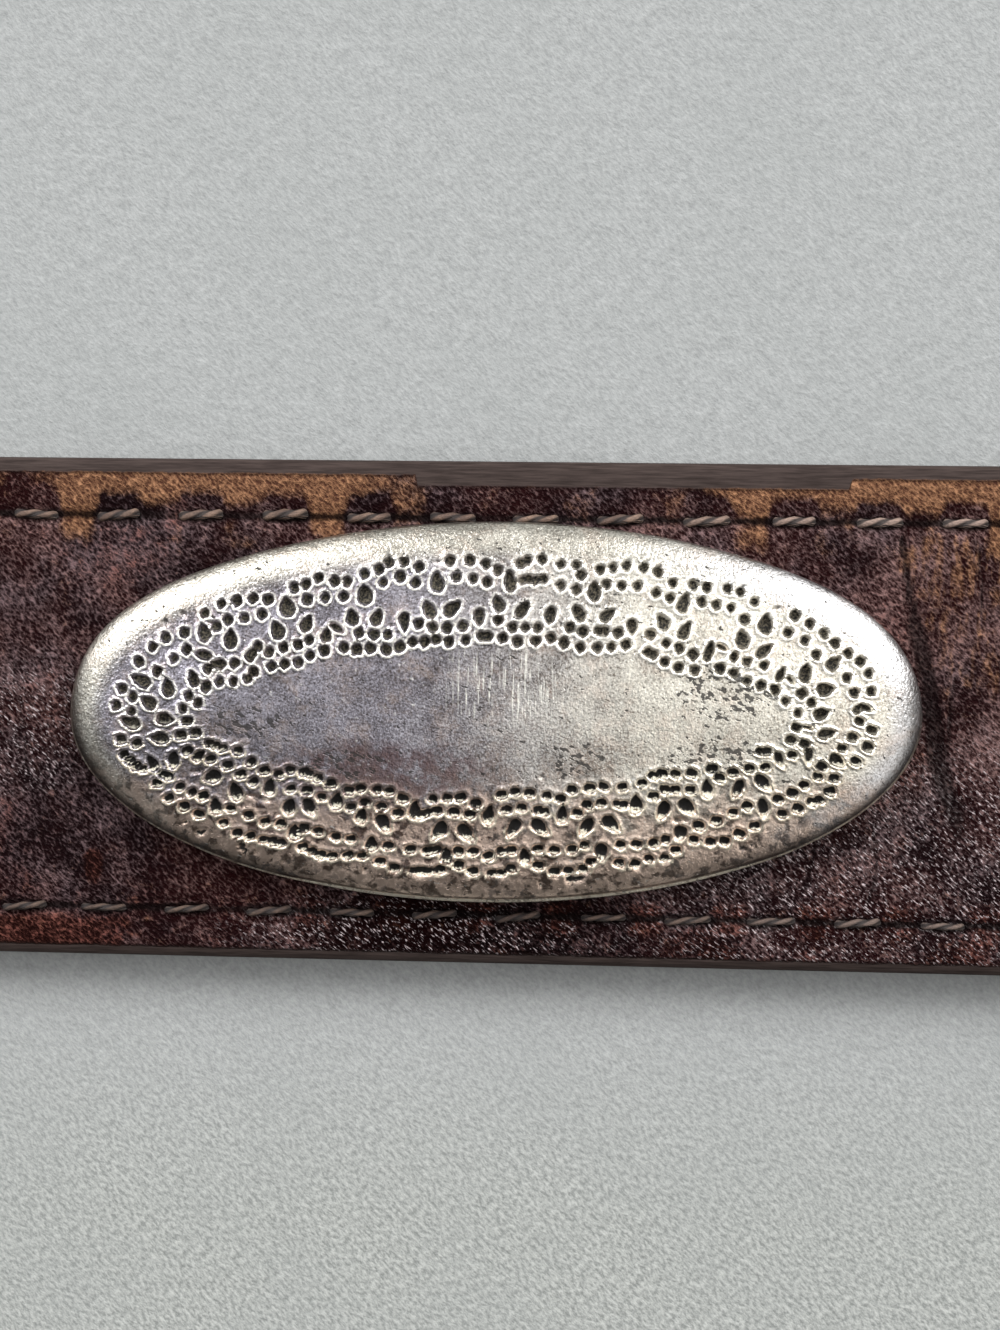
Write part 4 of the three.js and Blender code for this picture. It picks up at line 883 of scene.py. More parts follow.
def struck_border():
    """Every punch of the border: its outline on the dome, how deep it went and how high its burr stands."""
    draw = random.Random(STRIKE_SEED)
    strikes = []

    def strike(shape, x, y, degrees, depth=1.0, burr=1.0, jitter=0.03):
        heading = math.radians(degrees - 90 + draw.gauss(0, TURN_SPREAD))
        ring = []
        for u, v in shape:
            u += draw.gauss(0, jitter)
            v += draw.gauss(0, jitter)
            ring.append((x + u * math.cos(heading) - v * math.sin(heading),
                         y + u * math.sin(heading) + v * math.cos(heading)))
        strikes.append((np.array(ring), depth * draw.uniform(*FORCE), burr))

    for x, y in DOTS:
        shape = dot_outline(DOT_SIZE * draw.uniform(*DOT_SPREAD))
        turn = draw.uniform(0, 360)
        if y < 0:
            shape = [(u * WIDER, v * LOWER) for u, v in shape]
            turn = 90 - x * LOWER_LEAN + draw.gauss(0, LOWER_TURN_SPREAD)
        strike(shape, x, y, turn)
    for x, y, degrees, length, width in DROPS:
        strike(teardrop(length, width), x, y, degrees)
    for x, y, degrees, length, width in FAINT:
        strike(oval(length, width), x, y, degrees + 90, depth=0.4, burr=0.15)
    for x, y, degrees, length, width in STAINS:
        strike(oval(length, width), x, y, degrees + 90, depth=0.7, burr=0, jitter=0.09)
    return strikes


def inside_by(points, ring):
    """How far each point lies inside a closed outline; negative outside it."""
    end = np.roll(ring, -1, axis=0)
    edge = end - ring
    offset = points[:, None, :] - ring[None]
    share = np.clip((offset * edge).sum(-1) / np.maximum((edge * edge).sum(-1), TINY), 0, 1)
    gap = np.linalg.norm(offset - share[..., None] * edge, axis=-1).min(1)
    above = (ring[None, :, 1] > points[:, None, 1]) != (end[None, :, 1] > points[:, None, 1])
    rise = np.where(np.abs(edge[:, 1]) < TINY, TINY, edge[:, 1])
    crossing = ring[None, :, 0] + (points[:, None, 1] - ring[None, :, 1]) / rise * edge[None, :, 0]
    inside = (above & (points[:, None, 0] < crossing)).sum(1) % 2 == 1
    return np.where(inside, gap, -gap)


def stamp(obj, points, on_face):
    """Strikes the border: each punch presses a pit with a rough floor and pushes up a burr round it."""
    depth, burr, lower, strongest = np.zeros((4, len(points)))
    flat = points[:, :2]
    near_half = smoothstep(0, -4, points[:, 1])
    for ring, force, lip in struck_border():
        low, high = ring.min(0) - PUNCH_MARGIN, ring.max(0) + PUNCH_MARGIN
        near = np.flatnonzero(on_face & (flat > low).all(1) & (flat < high).all(1))
        inside = inside_by(flat[near], ring)
        middle, half = (low[1] + high[1]) / 2, (high[1] - low[1]) / 2 - PUNCH_MARGIN
        side = np.clip((middle - flat[near, 1]) / half, -1, 1)
        slant = 1 - PIT_SLANT * np.clip(side, 0, 1) * near_half[near]
        pressed = smoothstep(*PIT_WALL, inside) * force * slant
        pushed = lip * bell(inside + BURR_PLACE, BURR_REACH)
        felt = np.maximum(pressed, pushed)
        lower[near] = np.where(felt > strongest[near], side, lower[near])
        strongest[near] = np.maximum(strongest[near], felt)
        depth[near] = np.maximum(depth[near], pressed)
        burr[near] = np.maximum(burr[near], pushed)
    grit = np.random.default_rng(GRIT_SEED).normal(0, 1, len(points))
    floor = depth * (PIT_DEPTH + PIT_GRIT * grit)
    raised = burr * (1 - np.clip(depth * BURR_CUT_OFF, 0, 1)) * BURR_HEIGHT * (1 + BURR_GRIT * grit)
    dent_height, dent_size, dent_seed = DENTS
    wear = dent_height * ripple(points[:, 0], points[:, 1], dent_size, dent_seed) * on_face
    points[:, 2] += raised - floor + wear
    place_corners(obj, points)
    mark(obj, "pit", np.clip(depth, 0, 1))
    mark(obj, "burr", burr * (1 - np.clip(depth * SHINE_CUT_OFF, 0, 1)))
    mark(obj, "lower", lower)


def make_concho():
    """A ring inside the hollow is drawn down to the foot, up over the rim and in across the dome."""
    path = [(d, float(concho_height(d)) - CONCHO_WALL) for d in HOLLOW_RINGS] + FOOT_RINGS
    first_face_ring = len(path)
    path += [(d, float(concho_height(d))) for d in RIM_RINGS + STAMPED_RINGS + MIDDLE_RINGS]
    first, height = path[0]
    obj = add_ring("stamped_concho", CONCHO_SIDES, (0, 0, CONCHO_BASE + height), (0, 0, 0),
                   (CONCHO_HALF_LENGTH - first, CONCHO_HALF_WIDTH - first))
    with editing(obj):
        for (d0, h0), (d1, h1) in zip(path, path[1:]):
            bpy.ops.mesh.extrude_edges_move(TRANSFORM_OT_translate={"value": (0, 0, (h1 - h0) * MM)})
            grow = ((CONCHO_HALF_LENGTH - d1) / (CONCHO_HALF_LENGTH - d0),
                    (CONCHO_HALF_WIDTH - d1) / (CONCHO_HALF_WIDTH - d0), 1)
            bpy.ops.transform.resize(value=grow, center_override=(0, 0, 0))
    points = corners(obj)
    ring = np.arange(len(points)) // CONCHO_SIDES
    inset = np.array([d for d, _ in path])[ring]
    angle = np.arctan2(points[:, 1] / (CONCHO_HALF_WIDTH - inset),
                       points[:, 0] / (CONCHO_HALF_LENGTH - inset))
    on_face = ring >= first_face_ring
    points[:, 2] = np.where(on_face, CONCHO_BASE + face_height(inset, angle), points[:, 2])
    points[:, 1] += np.clip(1 - inset / BULGE_DEPTH, 0, 1) * bulge(angle)
    stamp(obj, points, on_face)
    mark(obj, "inset", inset)
    close_and_face_outwards(obj, merge=0.0005)
    obj.rotation_euler = (0, 0, CONCHO_TURN)
    apply_place(obj)
    smooth(obj, degrees=80)
    return obj


def make_post():
    head = add_cylinder("post_head", POST_SIDES, POST_HEAD_DIAMETER, POST_HEAD_HEIGHT,
                        (0, 0, POST_HEAD_HEIGHT / 2))
    with editing(head):
        bpy.ops.mesh.select_mode(type="FACE")
        bpy.ops.mesh.select_all(action="DESELECT")
    for face in head.data.polygons:
        face.select = face.normal.z > 0.9
    bpy.ops.object.mode_set(mode="EDIT")
    bpy.ops.mesh.inset(thickness=(POST_HEAD_DIAMETER - POST_SHANK_DIAMETER) / 2 * MM)
    shank = CONCHO_BASE - POST_GAP - POST_HEAD_HEIGHT
    bpy.ops.mesh.extrude_region_move(TRANSFORM_OT_translate={"value": (0, 0, shank * MM)})
    bpy.ops.object.mode_set(mode="OBJECT")
    cut(head, box_cutter(POST_SLOT))
    round_edges(head, radius=0.12, segments=2, degrees=40)
    smooth(head, degrees=40)
    return head


# The buckle

def frame_height(x):
    """Height of the rail's middle. The frame slopes down from the bar to its far rail."""
    share = np.clip((BAR_X - x) / (BUCKLE_REACH - RAIL_WIDTH / 2), 0, 1)
    return BAR_HEIGHT + (RAIL_HEIGHT / 2 - BAR_HEIGHT) * share


def make_buckle_frame():
    """A rail section is drawn round the frame: straight runs and spun corners, closed on itself."""
    far_x = BAR_X - BUCKLE_REACH + RAIL_WIDTH / 2
    near = BUCKLE_HALF_WIDTH - NEAR_CORNER
    far = BUCKLE_HALF_WIDTH - BUCKLE_CORNER
    obj = add_ring("buckle_frame", RAIL_SIDES, (0, 0, 0), (math.pi / 2, 0, 0),
                   (RAIL_WIDTH / 2, RAIL_HEIGHT / 2))
    points = corners(obj)
    points[:, 0] += BAR_X
    points[:, 1] = -near
    place_corners(obj, points)

    def run(dx, dy, steps):
        for _ in range(steps):
            bpy.ops.mesh.extrude_edges_move(
                TRANSFORM_OT_translate={"value": (dx / steps * MM, dy / steps * MM, 0)})

    def corner(cx, cy, steps):
        bpy.ops.mesh.spin(steps=steps, angle=-math.pi / 2, center=(cx * MM, cy * MM, 0), axis=(0, 0, 1))

    side_rail = BAR_X - NEAR_CORNER - far_x - BUCKLE_CORNER
    with editing(obj):
        run(0, 2 * near, steps=10)
        corner(BAR_X - NEAR_CORNER, near, steps=6)
        run(-side_rail, 0, steps=6)
        corner(far_x + BUCKLE_CORNER, far, steps=8)
        run(0, -2 * far, steps=8)
        corner(far_x + BUCKLE_CORNER, -far, steps=8)
        run(side_rail, 0, steps=6)
        corner(BAR_X - NEAR_CORNER, -near, steps=6)
    close_and_face_outwards(obj, merge=0.02)

    # The near rail is thinned to the round bar, and the frame is raised to its slope
    points = corners(obj)
    bar = smoothstep(NEAR_CORNER + 3, NEAR_CORNER - 1, BAR_X - points[:, 0])
    bar = bar * smoothstep(BUCKLE_HALF_WIDTH + 1, near - 1, np.abs(points[:, 1]))
    points[:, 0] = BAR_X + (points[:, 0] - BAR_X) * (1 + (BAR_DIAMETER / RAIL_WIDTH - 1) * bar)
    points[:, 2] *= 1 + (BAR_DIAMETER / RAIL_HEIGHT - 1) * bar
    points[:, 2] += frame_height(points[:, 0])
    place_corners(obj, points)
    apply_modifier(obj, "SUBSURF", levels=1, render_levels=1)
    smooth_all(obj)
    return obj


def make_prong():
    """The prong's rod is drawn out from its eye on the bar, bent over and rounded off on the far rail."""
    rest = RAIL_HEIGHT + PRONG_DIAMETER / 2 - PRONG_SINK
    length = BUCKLE_REACH - PRONG_STOP
    rod = add_cylinder("rod", PRONG_SIDES, PRONG_DIAMETER, length, (BAR_X - length / 2, 0, 0),
                       (0, math.pi / 2, 0))
    with editing(rod):
        for i in range(1, PRONG_STEPS):
            bisect(BAR_X - length * i / PRONG_STEPS)
    points = corners(rod)
    along = BAR_X - points[:, 0]
    hump = BAR_HEIGHT + PRONG_HUMP
    bend = hump * PRONG_BEND_SHARE + rest * (1 - PRONG_BEND_SHARE)
    middle = np.interp(along, [0, PRONG_HUMP_AT, PRONG_BEND_AT, BUCKLE_REACH - PRONG_REST_LENGTH, length],
                       [BAR_HEIGHT + PRONG_START, hump, bend, rest, rest - PRONG_TIP_DROP])
    slimmer = 1 - PRONG_TIP_SLIMMER * smoothstep(length - PRONG_TIP_LENGTH, length, along)
    points[:, 1] *= slimmer
    points[:, 2] = points[:, 2] * slimmer + middle
    place_corners(rod, points)
    round_edges(rod, radius=0.5, segments=3, degrees=50)
    eye = add_cylinder("eye", EYE_SIDES, EYE_DIAMETER, EYE_WIDTH, (BAR_X, 0, BAR_HEIGHT),
                       (math.pi / 2, 0, 0))
    round_edges(eye, radius=0.6, segments=3, degrees=50)
    obj = join("buckle_prong", [rod, eye])
    smooth(obj, degrees=50)
    return obj


# Shader nodes, written as sums

# A Mix node has sockets of the same names for each kind of value, so they go by number
MIX_NUMBERS = (2, 3)
MIX_COLOURS = (6, 7)
MIXED_COLOUR = 2


class Field:
    """What a shader node puts out over the surface. Fields add, subtract and multiply as numbers do."""

    def __init__(self, socket):
        self.socket = socket
        self.tree = socket.id_data

    def __add__(self, other):
        return math_node("ADD", self, other)

    def __sub__(self, other):
        return math_node("SUBTRACT", self, other)

    def __rsub__(self, other):
        return math_node("SUBTRACT", other, self)

    def __mul__(self, other):
        return math_node("MULTIPLY", self, other)

    def __pow__(self, other):
        return math_node("POWER", self, other)

    def __abs__(self):
        return math_node("ABSOLUTE", self)

    def into(self, socket):
        self.tree.links.new(self.socket, socket)


def node(kind, inputs, output=0, tree=None, **settings):
    """Adds a shader node, links or sets its inputs, and gives back one of its outputs."""
    tree = tree or next(value.tree for value in inputs.values() if isinstance(value, Field))
    made = tree.nodes.new(kind)
    for key, value in settings.items():
        setattr(made, key, value)
    for key, value in inputs.items():
        if isinstance(value, Field):
            value.into(made.inputs[key])
        else:
            made.inputs[key].default_value = value
    return Field(made.outputs[output])


def math_node(operation, a, b=0.0, clamp=False):
    return node("ShaderNodeMath", {0: a, 1: b}, operation=operation, use_clamp=clamp)


def vector(operation, a, b=(0, 0, 0), output=0):
    return node("ShaderNodeVectorMath", {0: a, 1: b}, output, operation=operation)


def larger(*fields):
    most = fields[0]
    for field in fields[1:]:
        most = math_node("MAXIMUM", most, field)
    return most


def straight(value, low, high, to_low=0.0, to_high=1.0, shape="LINEAR"):
    """The value carried from one range to another, and held at its ends."""
    return node("ShaderNodeMapRange", {0: value, 1: low, 2: high, 3: to_low, 4: to_high},
                interpolation_type=shape)


def step_up(value, low, high, to_low=0.0, to_high=1.0):
    """A soft step from 0 to 1 between two values, or down where the first is the larger."""
    return straight(value, low, high, to_low, to_high, "SMOOTHSTEP")


def tint(share, a, b, blend="MIX"):
    first, second = MIX_COLOURS
    return node("ShaderNodeMix", {0: share, first: a, second: b}, MIXED_COLOUR, data_type="RGBA",
                blend_type=blend)


def blend_value(share, a, b):
    first, second = MIX_NUMBERS
    return node("ShaderNodeMix", {0: share, first: a, second: b}, data_type="FLOAT")


def noise(position, size, detail=3.0, roughness=0.55, output=0):
    """Soft noise from 0 to 1, its blobs about size millimetres across."""
    return node("ShaderNodeTexNoise",
                {"Vector": position, "Scale": 1 / size, "Detail": detail, "Roughness": roughness}, output)


def stretched(position, scale, turn=0.0):
    return node("ShaderNodeMapping", {"Vector": position, "Rotation": (0, 0, turn), "Scale": scale})


def turned_by(position, angle):
    return node("ShaderNodeVectorRotate", {"Vector": position, "Angle": angle}, rotation_type="Z_AXIS")


def slanting(position, degrees, squeeze):
    """The position turned, then squeezed along the new X, so that a pattern is drawn out at a slant."""
    return stretched(turned_by(position, math.radians(degrees)), (squeeze, 1, 1))


def split(position):
    """The X, Y and Z of a position."""
    first = node("ShaderNodeSeparateXYZ", {0: position})
    return [Field(socket) for socket in first.socket.node.outputs]


def attribute(tree, name):
    return node("ShaderNodeAttribute", {}, "Fac", tree, attribute_name=name)


def in_millimetres(tree):
    return stretched(node("ShaderNodeTexCoord", {}, "Object", tree), (1 / MM,) * 3)


def bump(height, distance_mm):
    return node("ShaderNodeBump", {"Height": height, "Distance": distance_mm * MM})


# Effects that several materials share, each a node group that reads a position and puts out one mask

def new_effect(name, **inputs):
    """Starts a node group. Gives back its inputs as fields by name, and its output socket."""
    tree = bpy.data.node_groups.new(name, "ShaderNodeTree")
    for socket, first_value in {"Position": (0, 0, 0), **inputs}.items():
        kind = "NodeSocketVector" if isinstance(first_value, tuple) else "NodeSocketFloat"
        made = tree.interface.new_socket(socket, in_out="INPUT", socket_type=kind)
        made.default_value = first_value
    tree.interface.new_socket("Mask", in_out="OUTPUT", socket_type="NodeSocketFloat")
    start = tree.nodes.new("NodeGroupInput")
    end = tree.nodes.new("NodeGroupOutput")
    given = {socket: Field(start.outputs[socket]) for socket in ("Position", *inputs)}
    return given, end.inputs["Mask"]


def effect(group, position, **values):
    """A shared effect, placed in a material with the material's own values."""
    return node("ShaderNodeGroup", {"Position": position, **values}, node_tree=group)


def make_soft_spot():
    """A mask round a place, its border broken up by noise."""
    given, mask = new_effect("Soft spot", Place=(0, 0, 0), Reach=(1, 1, ANY_HEIGHT), Ragged=0.5)
    offset = vector("SUBTRACT", given["Position"], given["Place"])
    far = vector("LENGTH", vector("DIVIDE", offset, given["Reach"]), output="Value")
    wobble = (noise(given["Position"], 1.3, 4, 0.6) - 0.5) * (given["Ragged"] * 4)
    step_up(far + wobble, 1.25, 0.55).into(mask)
    return far.tree


def make_patches():
    """Ragged patches of a given size. Amount is how much of the surface they cover."""
    given, mask = new_effect("Ragged patches", Size=10.0, Amount=0.5, Softness=0.1)
    blobs = node("ShaderNodeTexNoise", {
        "Vector": given["Position"], "Scale": math_node("DIVIDE", 1.0, given["Size"]), "Detail": 5,
        "Roughness": 0.6, "Distortion": 0.3})
    level = straight(given["Amount"], 0, 1, 0.72, 0.28)
    step_up(blobs, level - given["Softness"], level + given["Softness"]).into(mask)
    return blobs.tree


def make_grain():
    """Pebbled leather: worn slanting ridges round dark bowls, from 0 in a bowl to 1 on a ridge."""
    given, mask = new_effect("Pebbled grain", Cell=0.34)
    slant = slanting(given["Position"], 45, 0.5)
    warp = vector("MULTIPLY", noise(given["Position"], 0.4, 2, 0.5, "Color"), (0.3, 0.3, 0.3))
    bowls = node("ShaderNodeTexVoronoi", {
        "Vector": vector("ADD", slant, warp), "Scale": math_node("DIVIDE", 1.0, given["Cell"]),
        "Smoothness": 0.4}, "Distance", feature="SMOOTH_F1")
    straight(bowls * 0.6 + noise(slant, 0.15, 2, 0.7), 0.54, 1.06).into(mask)
    return slant.tree


def make_scratches():
    """Fine straight scratches along one direction."""
    given, mask = new_effect("Scratches", Turn=0.0, Amount=0.3)
    turned = turned_by(given["Position"], given["Turn"])
    streaks = noise(stretched(turned, (6, 0.35, 1)), 1, 2, 0.5)
    level = straight(given["Amount"], 0, 1, 0.75, 0.4)
    step_up(streaks, level, level + 0.08).into(mask)
    return turned.tree


def spot(place, x, y, reach_x, reach_y):
    """A ragged mask round a place in plan."""
    return effect(soft_spot, place, Place=(x, y, 0), Reach=(reach_x, reach_y, ANY_HEIGHT), Ragged=0.3)


def patches(place, size, amount, softness=0.1):
    return effect(ragged_patches, place, Size=size, Amount=amount, Softness=softness)


# Materials

def new_material(name):
    """A material with its place in millimetres, that place's X, Y and Z, and the shader's inputs."""
    material = bpy.data.materials.new(name)
    material.use_nodes = True
    shader = next(n for n in material.node_tree.nodes if n.type == "BSDF_PRINCIPLED")
    place = in_millimetres(material.node_tree)
    return material, place, split(place), shader.inputs


def paint(obj, material):
    obj.data.materials.clear()
    obj.data.materials.append(material)


def rubbed_tan(place, x, inset, beat, beside, far_side, drift):
    """Where the far edge is rubbed down to tan: near the concho as the photo shows it, and in ragged
    patches along the rest of the belt."""
    seen = step_up(abs(x), 40, 37)
    left_rub = step_up(x, -36, -31) * step_up(x, -4, -12) * 0.85
    shown = left_rub + (step_up(x, 12, 19) * 0.75 + step_up(x, 25.5, 27) * 0.3) + 0.16
    along_belt = blend_value(seen, patches(place, 24, 0.5, 0.12), shown)
    edge_band = step_up(inset, 4.5, 2.2) * far_side
    above_stitch = step_up(beat, -0.6, 0.4) * step_up(inset, 1.7, 3.2) * step_up(inset, 5.4, 4.4) * far_side
    crossing = step_up(beat, 0.45, -0.8) * step_up(beside, 3.2, 0.8) * far_side * step_up(drift, 0.38, 0.62)
    strokes = noise(stretched(place, (1.1, 0.25, 1), math.radians(-40)), 0.8, 3, 0.6)
    rub_zone = larger(spot(place, 34.5, 11.5, 5.2, 3.0), spot(place, 35.5, 7.5, 4.2, 6) * 0.75)
    edge = along_belt * (edge_band + crossing * 0.85) - above_stitch * 0.6
    return edge + rub_zone * step_up(strokes, 0.36, 0.66) * 0.62


def rust_red(place, x, inset, beat, beside, near_side):
    """Where rust red shows: along the near edge, at the gaps of its stitches and in a few patches."""
    near_band = step_up(inset, 4.2, 2.4) * near_side
    puffs = step_up(beat, 0.45, -0.8) * step_up(beside, 2.2, 0.7) * near_side
    ends = step_up(abs(x + 3), 12, 20)
    corner = larger(spot(place, -34, -17.4, 7, 2.5), patches(place, 7, 0.42) * ends)
    dots = larger(spot(place, -30.3, -12, 0.9, 1.4) * 0.9, puffs * patches(place, 30, 0.6) * 0.8)
    return larger(near_band * corner, dots, patches(place, 9, 0.28, 0.14) * 0.5)


def make_leather():
    material, place, (x, y, _), shader = new_material("distressed leather")
    inset = attribute(place.tree, "inset")
    beat = attribute(place.tree, "beat")
    beside = abs(attribute(place.tree, "from_row"))
    crease = attribute(place.tree, "crease")
    far_side = step_up(y, -1, 1)
    near_side = 1.0 - far_side
    grain = effect(pebbled_grain, place, Cell=0.23)
    wander = noise(place, 1.1, 5, 0.7) - 0.5
    ridge_first = grain - 0.5
    drift = noise(place, 5.5, 2, 0.5)
    tan = rubbed_tan(place, x, inset, beat, beside, far_side, drift)
    tan = step_up(tan + (wander * 1.4 + ridge_first * 0.2), 0.1, 0.95)
    red = rust_red(place, x, inset, beat, beside, near_side)
    red = step_up(red + (wander * 1.3 + ridge_first * 0.3), 0.15, 1.0)

    # Dark bowls and worn ridges between them. Their level is lowered where shadowed, and the black strip
    # below the concho is darkened further, both painted shade. The highest points of the ridges are lightened
    # as painted glints where the finish is glossy, and they also get a shiny coat
    gloss = larger(step_up(x, 3, 22) * step_up(y, 2, -8), spot(place, -35, -1.5, 5, 5),
                   spot(place, -6, -17.2, 14, 3.5))
    black_strip = spot(place, -3, -16.6, 13, 4)
    shadowed = larger(black_strip * 0.4 + 0.05, step_up(y, -4, -9) * 0.19,
                      spot(place, -34, -1.5, 5, 5) * 0.18, step_up(inset, 5.2, 3.6) * far_side * 0.3)
    tone = (noise(place, 4.5, 2.5, 0.5) - 0.5) * 1.45
    # The level is lowered where shadowed: painted shade
    worn = math_node("ADD", grain, tone - shadowed, clamp=True) ** 1.9
    hue = step_up(noise(place, 7, 4, 0.6), 0.35, 0.65)
    bowl = tint(hue, srgb(31, 9, 10), srgb(20, 8, 10))
    ridge = tint(hue, srgb(127, 97, 94), srgb(114, 94, 97))
    body = tint(worn, bowl, ridge)
    # Painted shade: the black strip below the concho is darkened further
    body = tint(black_strip * 0.85, body, tint(1.0, body, srgb(150, 130, 130), "MULTIPLY"))
    tan_colour = tint(grain ** 1.3, srgb(74, 46, 36), srgb(162, 119, 88))
    rust_colour = tint(worn, srgb(30, 11, 8), srgb(128, 70, 56))
    colour = tint(tan * 0.9, tint(red * 0.75, body, rust_colour), tan_colour)
    fine_strokes = noise(slanting(place, 40, 0.24), 0.12, 1, 0.5)
    # Painted highlight: glints on the ridges where the finish is glossy, lightened into the colour
    glint_tips = step_up(fine_strokes, 0.56, 0.7) * step_up(grain, 0.25, 0.7) * gloss * (1.0 - tan)
    colour = tint(glint_tips * 0.85, colour, srgb(205, 190, 192))

    # Painted shade: the creases, the holes that the thread bites and the shade beside it are dark
    colour = tint(step_up(crease, 0.05, 0.22) * 0.75, colour, srgb(16, 8, 9))
    line = step_up(beside + wander * 0.6, 0.46, 0.1)
    hole_shade = line * step_up(beat, 0.7, -0.1) * step_up(drift, 0.3, 0.5, 0.7, 1.0)
    colour = tint(hole_shade * 0.9, colour, srgb(12, 6, 6))
    shade = step_up(beside, 0.62, 0.25) * step_up(beat, -0.5, 0.3) * 0.8
    colour = tint(shade, colour, srgb(16, 9, 10))

    # The smooth painted edge, broader along the far side over the concho
    broad = step_up(x, -6.05, -5.8) * step_up(x, 26.6, 26.2) * far_side
    width = blend_value(far_side, 0.84, 1.12) + broad * 0.8
    past = inset + wander * 0.3 - width
    painted = step_up(past, 0.07, -0.07)
    bare = 1.0 - painted
    colour = tint(step_up(past, 0.3, 0.02) * bare * 0.7, colour, srgb(24, 14, 12))
    streaks = noise(stretched(place, (0.16, 2.5, 2.5)), 0.5, 4, 0.65)
    edge_colour = tint(step_up(streaks, 0.25, 0.75), srgb(44, 37, 35), srgb(71, 61, 58))
    tint(painted, colour, edge_colour).into(shader["Base Color"])

    roughness = blend_value(tan, blend_value(gloss, 0.6, 0.36), 0.72)
    blend_value(painted, roughness, 0.5).into(shader["Roughness"])
    bump(grain * bare, 0.2).into(shader["Normal"])
    coat = glint_tips * 0.6 + worn * straight(gloss, 0, 1, 0.3, 0.7)
    (coat * bare * (1.0 - tan)).into(shader["Coat Weight"])
    shader["Coat Roughness"].default_value = 0.3
    shader["Specular IOR Level"].default_value = 0.02
    return material


def make_backing_leather():
    material, place, _, shader = new_material("backing leather")
    grain = effect(pebbled_grain, place, Cell=0.4)
    fine = noise(place, 0.25, 4, 0.7)
    ground = tint(patches(place, 22, 0.5, 0.2), srgb(62, 44, 38), srgb(78, 56, 46))
    colour = tint(grain * fine, ground, srgb(96, 72, 60))
    painted = step_up(attribute(place.tree, "inset"), 1.5, 1.1)
    tint(painted, colour, srgb(72, 63, 60)).into(shader["Base Color"])
    blend_value(painted, 0.72, 0.5).into(shader["Roughness"])
    bump((grain + fine) * (1.0 - painted), 0.06).into(shader["Normal"])
    return material


def plate_tarnish_and_painted_light(place, x, y, inset, cloudy, specks, grit):
    """The silver between the punch marks, peppered all over and brown towards the lower edge. Painted
    reflection makes it darker lilac grey to the left and brighter warm cream to the right. Painted shade
    darkens both ends of the oval's foot, and it has a bright worn edge."""
    rim = step_up(inset, 3.4, 1.6)
    drifting = cloudy - 0.5
    # Painted reflection: darker lilac grey on the left, brighter warm cream on the right
    side = step_up(x + drifting * 12, -8, 14)
    plate = tint(side, srgb(184, 180, 190), srgb(250, 245, 232))
    rim_plate = tint(step_up(x, 8, 24), srgb(232, 228, 216), srgb(234, 234, 236))
    plate = tint(rim, plate, rim_plate)
    pepper = straight(specks + cloudy * 0.5, 0.55, 0.93) ** blend_value(side, 1.3, 0.6)
    dulled = tint(1.0, plate, srgb(124, 118, 112), "MULTIPLY")
    plate = tint(larger(pepper, rim * 0.3), dulled, plate)

    low = step_up(y + drifting * 9, -2.5, -9)
    browned = larger(low * 0.85, patches(place, 2.2, 0.36) * 0.22)
    brown = tint(patches(place, 0.9, 0.58, 0.06), srgb(92, 72, 60), srgb(222, 196, 178))
    plate = tint(browned, plate, brown)
    stained = spot(place, -8, -4.2, 8.5, 2.4) * patches(place, 0.9, 0.6) * 0.75
    plate = tint(stained, plate, srgb(104, 82, 82))
    # Painted shade: the foot of the rim is darkened at both ends of its lower side
    foot = step_up(inset, 1.6, 0.3) * step_up(y, 4, -3) * step_up(abs(x - 2), 9, 18)
    plate = tint(foot * 0.9, plate, srgb(46, 40, 37))
    worn_edge = step_up(inset, 0.34, 0.2) * step_up(y, 2, -6)
    plate = tint(worn_edge * step_up(grit, 0.38, 0.5, 0.4, 1.0), plate, srgb(255, 246, 226))
    return plate, low


